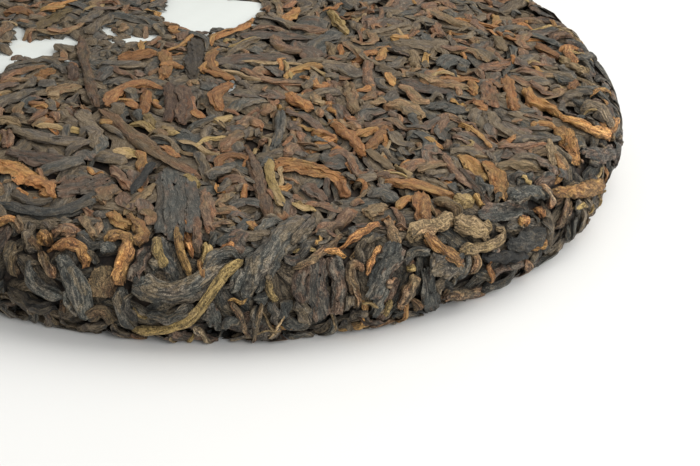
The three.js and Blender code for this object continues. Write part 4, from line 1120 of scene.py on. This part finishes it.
def joined_leaves(name, form, leaves):
    """All leaves of one kind as one mesh, with the attributes that its material reads."""
    dressings = [dressed(leaf) for leaf in leaves]
    counts = [len(dressing[0]) for dressing in dressings]
    starts = np.cumsum([0, *counts[:-1]]).tolist()
    u, v, lift, grain, edge, low = (np.concatenate(values) for values in zip(*dressings))
    side = np.repeat([leaf.side for leaf in leaves], counts)
    tone = np.repeat([leaf.tone for leaf in leaves], counts)
    hue = np.repeat([leaf.hue for leaf in leaves], counts)
    points = pressed(form, side, u, v, lift)
    corners = np.concatenate([leaf.shape.corners + start for leaf, start in zip(leaves, starts)])
    sizes = np.concatenate([leaf.shape.sizes for leaf in leaves])
    mesh = bpy.data.meshes.new(name)
    mesh.vertices.add(len(points))
    mesh.vertices.foreach_set("co", points.ravel())
    mesh.loops.add(len(corners))
    mesh.loops.foreach_set("vertex_index", corners)
    mesh.polygons.add(len(sizes))
    mesh.polygons.foreach_set("loop_start", np.concatenate([[0], np.cumsum(sizes)[:-1]]).astype(np.int32))
    mesh.update(calc_edges=True)
    mesh.validate()
    mesh.attributes.new("grain", "FLOAT_VECTOR", "POINT").data.foreach_set("vector", grain.ravel())
    # How deep each point lies between the others, for the painted shade there, and on the faces painted light.
    sunk = np.clip(-lift / SUNK_DEPTH, 0, 1)
    values = {"tone": tone, "hue": hue, "edge": edge, "low": low, "sunk": sunk, "calm": 1 - rim_share(u, v)}
    for label, numbers in values.items():
        mesh.attributes.new(label, "FLOAT", "POINT").data.foreach_set("value", numbers)
    piece = bpy.data.objects.new(name, mesh)
    bpy.context.collection.objects.link(piece)
    deselect()
    piece.select_set(True)
    bpy.context.view_layer.objects.active = piece
    bpy.ops.object.shade_smooth_by_angle(angle=LEAF_CREASE)
    return piece


class Socket:
    """A material's socket that Python's arithmetic turns into Math nodes."""

    def __init__(self, tree, socket):
        self.tree = tree
        self.socket = socket

    def math(self, operation, *values):
        """A Math node of some values or sockets."""
        return add_node(self.tree, "ShaderNodeMath", {"operation": operation}, dict(enumerate(values)))

    def __add__(self, other):
        return self.math("ADD", self, other)

    def __radd__(self, other):
        return self.math("ADD", other, self)

    def __sub__(self, other):
        return self.math("SUBTRACT", self, other)

    def __rsub__(self, other):
        return self.math("SUBTRACT", other, self)

    def __mul__(self, other):
        return self.math("MULTIPLY", self, other)

    def __rmul__(self, other):
        return self.math("MULTIPLY", other, self)

    def __abs__(self):
        return self.math("ABSOLUTE", self)


def add_node(tree, kind, settings, inputs, output=0):
    """A node of a type, with its settings made first and then the values or links of its inputs."""
    node = tree.nodes.new(kind)
    for name, value in settings.items():
        setattr(node, name, value)
    for name, value in inputs.items():
        if isinstance(value, Socket):
            tree.links.new(value.socket, node.inputs[name])
        else:
            node.inputs[name].default_value = value
    return Socket(tree, node.outputs[output])


# The colour inputs and output of a Mix node, whose names its other kinds share.
MIX_FIRST, MIX_SECOND, MIX_RESULT = 6, 7, 2


def mixed(tree, share, first, second, blend="MIX"):
    """Two colours mixed; each is a colour or a socket."""
    settings = {"data_type": "RGBA", "blend_type": blend, "clamp_factor": True}
    node = add_node(tree, "ShaderNodeMix", settings, {"Factor": share}, MIX_RESULT)
    for number, value in ((MIX_FIRST, first), (MIX_SECOND, second)):
        socket = node.socket.node.inputs[number]
        if isinstance(value, Socket):
            tree.links.new(value.socket, socket)
        else:
            socket.default_value = (*value, 1)
    return node


def attribute(tree, name, output="Fac"):
    """A value, or a vector, stored on the mesh's points."""
    return add_node(tree, "ShaderNodeAttribute", {"attribute_name": name}, {}, output)


def object_place(tree):
    """A point's place in the object."""
    return add_node(tree, "ShaderNodeTexCoord", {}, {}, "Object")


def noise(tree, vector, scale, detail=3.0, rough=0.55):
    """A noise value from 0 to 1."""
    return add_node(tree, "ShaderNodeTexNoise", {}, {
        "Vector": vector, "Scale": scale, "Detail": detail, "Roughness": rough})


def stretched(tree, vector, x, y, z):
    """A vector scaled along its own axes."""
    return add_node(tree, "ShaderNodeVectorMath", {"operation": "MULTIPLY"}, {0: vector, 1: (x, y, z)})


def band(value, low, high):
    """Rises smoothly from 0 to 1 between two values."""
    return add_node(value.tree, "ShaderNodeMapRange", {"interpolation_type": "SMOOTHSTEP"}, {
        "Value": value, "From Min": low, "From Max": high})


def bend_normal(tree, shader, height, strength, distance):
    """Lets a height show in the shader's normal."""
    inputs = {"Height": height, "Strength": strength, "Distance": distance}
    bump = add_node(tree, "ShaderNodeBump", {}, inputs)
    tree.links.new(bump.socket, shader.inputs["Normal"])


def new_material(name):
    """An empty material, its nodes and its shader."""
    material = bpy.data.materials.new(name)
    material.use_nodes = True
    tree = material.node_tree
    tree.nodes.clear()
    output = tree.nodes.new("ShaderNodeOutputMaterial")
    shader = tree.nodes.new("ShaderNodeBsdfPrincipled")
    tree.links.new(shader.outputs["BSDF"], output.inputs["Surface"])
    return material, tree, shader


class LeafLook(NamedTuple):
    """Colours and surface of one kind of leaf: two base colours, worn ridges, patches, and their amounts."""

    cool: tuple
    warm: tuple
    worn: tuple
    patch: tuple
    patches: float
    wear: float
    shine: float
    # how much painted shade it gets deep between other leaves
    depth_shade: float


def leaf_material(name, look):
    """Dry leaf: its own shade of two colours, mottled, with fine wrinkles along it, worn edges and ridges."""
    material, tree, shader = new_material(name)
    grain = attribute(tree, "grain", "Vector")
    tone, hue, edge, sunk, low, calm = (
        attribute(tree, value) for value in ("tone", "hue", "edge", "sunk", "low", "calm"))

    def between(at_rim, on_face):
        """A value that goes from one number at the rim to another on the faces."""
        return calm * (on_face - at_rim) + at_rim

    # Patterns on the leaf: soft patches, wrinkles along it, crumples and fine specks.
    mottle = noise(tree, stretched(tree, grain, 0.14, 0.35, 0.35), 1.0, 3.0)
    wrinkle = noise(tree, stretched(tree, grain, 0.4, 1.8, 1.8), 1.0, 3.0, 0.6)
    crumple = noise(tree, grain, 0.8, 3.0, 0.6)
    speck = noise(tree, grain, 2.8, 3.0, 0.7)
    # Its two colours, patches of a third, and worn ridges.
    warmth = band(hue * 0.5 + mottle * 1.5 + between(-0.6, -0.45), 0.1, 0.8)
    colour = mixed(tree, warmth, look.cool, look.warm)
    blotch = noise(tree, stretched(tree, grain, 0.22, 0.5, 0.5), 1.0, 3.0, 0.6)
    patch = band(blotch + hue * 0.2 + edge * 0.12, 0.62, 0.76)
    colour = mixed(tree, patch * look.patches, colour, look.patch)
    fine = band(wrinkle * 0.42 + crumple * 0.2 + speck * 0.38, 0.4, 0.6)
    ridge = band(fine + edge * 0.2 + mottle * 0.4, 0.75, 1.35)
    colour = mixed(tree, ridge * look.wear, colour, look.worn)
    # How light it is, with painted light: highlights as sparse glints, shade along crease lines, and shade
    # below and between other leaves, which on the faces turns into light in the crevices.
    painted_glint = band(noise(tree, grain, 3.4, 1.0), 0.66, 0.78)
    fold = band(abs(noise(tree, stretched(tree, grain, 0.2, 0.75, 0.75), 1.0, 2.0) - 0.5), 0.003, 0.03)
    # Lighter on the crests of the bumped wrinkles and crumples and darker in their valleys: partly the leaf's
    # own grain, partly painted shade. The glints add painted highlights. Both are weaker on the faces.
    fine_shade_and_glint = between(0.32, 0.74) + fine * between(1.35, 0.4) + painted_glint * between(2.2, 0.2)
    light = (between(0.7, 0.66) + tone * between(0.56, 0.36)) * fine_shade_and_glint * (0.75 + mottle * 0.5)
    # Painted shade: dark lines along the creases of the folds, lighter on the faces.
    creased = light * (between(0.5, 0.7) + fold * between(0.52, 0.32))
    # Painted shade deep between leaves and on their undersides at the rim. On the faces the same masks paint
    # light into the crevices instead, against their real shade.
    shade = creased * (1 - sunk * between(1, -0.6) * look.depth_shade) * (1.12 - low * between(0.8, -0.05))
    grey = add_node(tree, "ShaderNodeCombineColor", {}, {0: shade, 1: shade, 2: shade})
    colour = mixed(tree, 1.0, colour, grey, "MULTIPLY")
    tree.links.new(colour.socket, shader.inputs["Base Color"])
    rough = (1.0 - look.shine) + speck * 0.3 - ridge * 0.15
    tree.links.new(rough.socket, shader.inputs["Roughness"])
    height = (wrinkle * 1.3 + crumple + speck * 0.8 + fold * 0.3) * between(1, 0.5)
    bend_normal(tree, shader, height, 1.0, 0.65 * MM)
    shader.inputs["Specular IOR Level"].default_value = 0.5
    return material


def core_material():
    """The crushed leaf between and behind the leaves that show, painted dark as the shade in the gaps."""
    material, tree, shader = new_material("crushed leaf")
    place = object_place(tree)
    lumps = noise(tree, place, 420.0, 5.0, 0.65)
    # Far darker than the leaves: painted shade in the gaps between them.
    colour = mixed(tree, band(lumps, 0.35, 0.7), srgb(26, 22, 19), srgb(66, 54, 44))
    tree.links.new(colour.socket, shader.inputs["Base Color"])
    bend_normal(tree, shader, lumps, 0.8, 0.8 * MM)
    shader.inputs["Roughness"].default_value = 0.85
    return material


def paper_material(colours):
    """Thin plain paper, faintly fibrous, a little stained by the tea."""
    material, tree, shader = new_material("ticket paper")
    place = object_place(tree)
    fibre = noise(tree, place, 900.0, 4.0, 0.6)
    stain = noise(tree, place, 90.0, 3.0, 0.5)
    colour = mixed(tree, band(stain, 0.58, 0.8) * 0.35, tuple(colours.paper), srgb(206, 196, 176))
    tree.links.new(colour.socket, shader.inputs["Base Color"])
    bend_normal(tree, shader, fibre, 0.35, 0.08 * MM)
    shader.inputs["Roughness"].default_value = 0.8
    return material


def floor_material(colours):
    """A plain pale floor, barely mottled."""
    material, tree, shader = new_material("pale floor")
    place = object_place(tree)
    cloud = noise(tree, place, 6.0, 3.0, 0.5)
    pale = tuple(colours.floor)
    colour = mixed(tree, band(cloud, 0.3, 0.7), pale, tuple(c * 0.97 for c in pale))
    tree.links.new(colour.socket, shader.inputs["Base Color"])
    shader.inputs["Roughness"].default_value = 0.9
    return material


def finish_piece(piece, material, node):
    """Gives a piece its material and its place in the frame, and hides the CAD node that it replaces."""
    piece.data.materials.clear()
    piece.data.materials.append(material)
    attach(piece, BODY)
    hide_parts(node)


def build_kind(context, name):
    """One kind of leaf as one piece. Where it would have too many triangles, the least seen are left out."""
    form, leaves = cake_of(context)
    budget = PIECE_TRIANGLES
    kept = []
    shown = [leaf for leaf in leaves if leaf.kind == name and leaf.seen > 0]
    for leaf in sorted(shown, key=lambda leaf: -leaf.seen):
        budget -= leaf.shape.triangles
        if budget < 0:
            break
        kept.append(leaf)
    piece = joined_leaves(name, form, kept)
    colours = context.scene.cake_colours
    slate, umber, dust, brown, rust = (
        tuple(colour) for colour in (
            colours.slate_leaf, colours.umber_leaf, colours.dust, colours.brown_leaf, colours.rust_leaf))
    gold, orange, stalk, tan = (
        tuple(colour) for colour in (colours.gold_bud, colours.orange_bud, colours.stalk, colours.tan))
    looks = {
        "rolled_leaves": LeafLook(
            slate, umber, dust, brown, patches=0.5, wear=0.35, shine=0.45, depth_shade=0.6),
        "twisted_leaves": LeafLook(
            slate, umber, dust, brown, patches=0.6, wear=0.4, shine=0.45, depth_shade=0.6),
        "folded_leaves": LeafLook(
            slate, umber, dust, rust, patches=0.4, wear=0.35, shine=0.5, depth_shade=0.6),
        "under_leaves": LeafLook(
            slate, umber, dust, brown, patches=0.4, wear=0.3, shine=0.3, depth_shade=0.8),
        "cover_leaves": LeafLook(
            slate, umber, dust, brown, patches=0.4, wear=0.3, shine=0.3, depth_shade=0.8),
        "brown_leaves": LeafLook(
            brown, rust, tan, slate, patches=0.45, wear=0.3, shine=0.4, depth_shade=0.6),
        "golden_buds": LeafLook(
            gold, orange, stalk, rust, patches=0.5, wear=0.3, shine=0.36, depth_shade=0.5),
        "leaf_stalks": LeafLook(
            stalk, tan, dust, brown, patches=0.4, wear=0.2, shine=0.36, depth_shade=0.5),
    }
    finish_piece(piece, leaf_material(name.replace("_", " "), looks[name]), "tea_cake")


class TEACAKE_OT_core(bpy.types.Operator):
    """Adds the core of crushed leaf that shows between the leaves, painted dark as the shade in the gaps"""

    bl_idname = "teacake.core"
    bl_label = "Core"

    def execute(self, context):
        form, _ = cake_of(context)
        deselect()
        bpy.ops.mesh.primitive_uv_sphere_add(segments=CORE_SEGMENTS, ring_count=CORE_RINGS, radius=1)
        core = context.object
        core.name = "leaf_core"
        mesh = core.data
        points = np.zeros(len(mesh.vertices) * 3)
        mesh.vertices.foreach_get("co", points)
        x, y, z = points.reshape(-1, 3).T
        along = np.arccos(np.clip(z, -1, 1)) / math.pi * form.whole
        side = np.where(along < form.whole / 2, 1, -1)
        away = np.where(side > 0, along, form.whole - along)
        around = np.arctan2(y, x) * side
        bumps = np.sin(x * 71 + 3) * np.sin(y * 67 + 1) * np.sin(z * 59 + 2)
        lift = -CORE_DEPTH + CORE_BUMP * bumps
        placed = form.place(side, away * np.cos(around), away * np.sin(around), lift)
        mesh.vertices.foreach_set("co", placed.ravel())
        mesh.update()
        bpy.ops.object.shade_smooth()
        finish_piece(core, core_material(), "tea_cake")
        return {"FINISHED"}


class LeafOperator:
    """What the operators of all kinds of leaf share."""

    bl_options = {"REGISTER"}
    kind = ""

    def execute(self, context):
        build_kind(context, self.kind)
        return {"FINISHED"}


class TEACAKE_OT_under_leaves(LeafOperator, bpy.types.Operator):
    """Adds the rough under layer of leaves"""

    bl_idname = "teacake.under_leaves"
    bl_label = "Under leaves"
    kind = "under_leaves"


class TEACAKE_OT_cover_leaves(LeafOperator, bpy.types.Operator):
    """Adds the small thin leaves that hide the ticket between its bare patches"""

    bl_idname = "teacake.cover_leaves"
    bl_label = "Cover leaves"
    kind = "cover_leaves"


class TEACAKE_OT_rolled_leaves(LeafOperator, bpy.types.Operator):
    """Adds the dark leaves rolled into strips"""

    bl_idname = "teacake.rolled_leaves"
    bl_label = "Rolled leaves"
    kind = "rolled_leaves"


class TEACAKE_OT_twisted_leaves(LeafOperator, bpy.types.Operator):
    """Adds the narrow dark leaves twisted like cord"""

    bl_idname = "teacake.twisted_leaves"
    bl_label = "Twisted leaves"
    kind = "twisted_leaves"


class TEACAKE_OT_folded_leaves(LeafOperator, bpy.types.Operator):
    """Adds the dark leaves that are folded or pleated"""

    bl_idname = "teacake.folded_leaves"
    bl_label = "Folded leaves"
    kind = "folded_leaves"


class TEACAKE_OT_brown_leaves(LeafOperator, bpy.types.Operator):
    """Adds the brown leaves"""

    bl_idname = "teacake.brown_leaves"
    bl_label = "Brown leaves"
    kind = "brown_leaves"


class TEACAKE_OT_golden_buds(LeafOperator, bpy.types.Operator):
    """Adds the golden buds"""

    bl_idname = "teacake.golden_buds"
    bl_label = "Golden buds"
    kind = "golden_buds"


class TEACAKE_OT_leaf_stalks(LeafOperator, bpy.types.Operator):
    """Adds the stalks"""

    bl_idname = "teacake.leaf_stalks"
    bl_label = "Stalks"
    kind = "leaf_stalks"


class TEACAKE_OT_ticket(bpy.types.Operator):
    """Adds the bare paper ticket pressed into the top"""

    bl_idname = "teacake.ticket"
    bl_label = "Paper ticket"

    def execute(self, context):
        form, _ = cake_of(context)
        deselect()
        columns, rows = TICKET_GRID
        bpy.ops.mesh.primitive_grid_add(x_subdivisions=columns, y_subdivisions=rows, size=1)
        ticket = context.object
        ticket.name = "ticket_sheet"
        points = np.zeros(len(ticket.data.vertices) * 3)
        ticket.data.vertices.foreach_get("co", points)
        x, y, _ = points.reshape(-1, 3).T
        along = x * TICKET_SIZE[0]
        across = y * TICKET_SIZE[1]
        u, v = ticket_place(along, across)
        wave = np.sin(along / MM * 0.17 + 0.6) * np.cos(across / MM * 0.14 - 0.4)
        ripple = 0.25 * np.sin(along / MM * 0.9 + across / MM * 0.5) * np.sin(across / MM * 0.8)
        placed = form.place(1, u, v, TICKET_WAVE * (wave + ripple) - TICKET_DEPTH)
        ticket.data.vertices.foreach_set("co", placed.ravel())
        ticket.data.update()
        body = ticket.modifiers.new("Body", "SOLIDIFY")
        body.thickness = PAPER_THICKNESS
        body.offset = 0
        bpy.ops.object.modifier_apply(modifier="Body")
        bpy.ops.object.shade_smooth_by_angle(angle=PAPER_CREASE)
        finish_piece(ticket, paper_material(context.scene.cake_colours), "paper_ticket")
        return {"FINISHED"}


class Light(NamedTuple):
    """A square lamp: where it stands, its size in metres, its power in watts and its colour."""

    name: str
    place: tuple
    size: float
    power: float
    colour: tuple


LIGHTS = (
    Light("overhead light", (0.24, 0.0, 0.32), 0.4, 1.0, (1, 0.99, 0.97)),
    Light("front light", (0.45, -1.0, 0.75), 0.5, 5.9, (0.97, 0.98, 1)),
    Light("side light", (1.0, -0.15, 0.45), 0.7, 2.3, (1, 0.98, 0.95)),
)


class TEACAKE_OT_stage(bpy.types.Operator):
    """Adds the floor, the lights and the camera"""

    bl_idname = "teacake.stage"
    bl_label = "Stage"

    def execute(self, context):
        deselect()
        bpy.ops.mesh.primitive_plane_add(size=FLOOR_SIZE)
        floor = context.object
        floor.name = "floor"
        floor.data.materials.append(floor_material(context.scene.cake_colours))
        for light in LIGHTS:
            lamp = bpy.data.lights.new(light.name, "AREA")
            lamp.size = light.size
            lamp.energy = light.power
            lamp.color = light.colour
            holder = bpy.data.objects.new(light.name, lamp)
            context.collection.objects.link(holder)
            holder.location = light.place
            aim = LIGHT_AIM - holder.location
            holder.rotation_euler = aim.to_track_quat("-Z", "Y").to_euler()
        world = bpy.data.worlds.new("soft room")
        world.use_nodes = True
        background = world.node_tree.nodes["Background"]
        background.inputs["Color"].default_value = ROOM_COLOUR
        background.inputs["Strength"].default_value = ROOM_STRENGTH
        context.scene.world = world
        context.scene.view_settings.view_transform = "Standard"
        eye, right, up, ahead = camera_axes()
        lens = bpy.data.cameras.new("camera")
        lens.sensor_width = SENSOR_WIDTH
        lens.lens = FOCAL_PIXELS / PICTURE_SIZE[0] * SENSOR_WIDTH
        lens.clip_start = 0.01
        camera = bpy.data.objects.new("camera", lens)
        context.collection.objects.link(camera)
        camera.matrix_world = Matrix.Translation(eye) @ Matrix((right, up, -ahead)).transposed().to_4x4()
        context.scene.camera = camera
        return {"FINISHED"}


class TEACAKE_PT_panel(bpy.types.Panel):
    """Lists the cake's sizes, colours and pieces"""

    bl_idname = "TEACAKE_PT_panel"
    bl_label = "Tea cake"
    bl_space_type = "VIEW_3D"
    bl_region_type = "UI"
    bl_category = "Tea cake"

    def draw(self, context):
        for group in (context.scene.cake_sizes, context.scene.cake_colours):
            for name in group.__annotations__:
                self.layout.prop(group, name)
        for operator in PIECES:
            self.layout.operator(operator.bl_idname)


PIECES = (
    TEACAKE_OT_stage,
    TEACAKE_OT_core,
    TEACAKE_OT_under_leaves,
    TEACAKE_OT_cover_leaves,
    TEACAKE_OT_rolled_leaves,
    TEACAKE_OT_twisted_leaves,
    TEACAKE_OT_folded_leaves,
    TEACAKE_OT_brown_leaves,
    TEACAKE_OT_golden_buds,
    TEACAKE_OT_leaf_stalks,
    TEACAKE_OT_ticket,
)
CLASSES = (CakeSizes, CakeColours, *PIECES, TEACAKE_PT_panel)


def register():
    for cls in CLASSES:
        bpy.utils.register_class(cls)
    bpy.types.Scene.cake_sizes = bpy.props.PointerProperty(type=CakeSizes)
    bpy.types.Scene.cake_colours = bpy.props.PointerProperty(type=CakeColours)


def unregister():
    del bpy.types.Scene.cake_sizes
    del bpy.types.Scene.cake_colours
    for cls in reversed(CLASSES):
        bpy.utils.unregister_class(cls)


def main():
    register()
    bpy.ops.teacake.stage()
    bpy.ops.teacake.core()
    bpy.ops.teacake.under_leaves()
    bpy.ops.teacake.cover_leaves()
    bpy.ops.teacake.rolled_leaves()
    bpy.ops.teacake.twisted_leaves()
    bpy.ops.teacake.folded_leaves()
    bpy.ops.teacake.brown_leaves()
    bpy.ops.teacake.golden_buds()
    bpy.ops.teacake.leaf_stalks()
    bpy.ops.teacake.ticket()


if __name__ == "__main__":
    main()
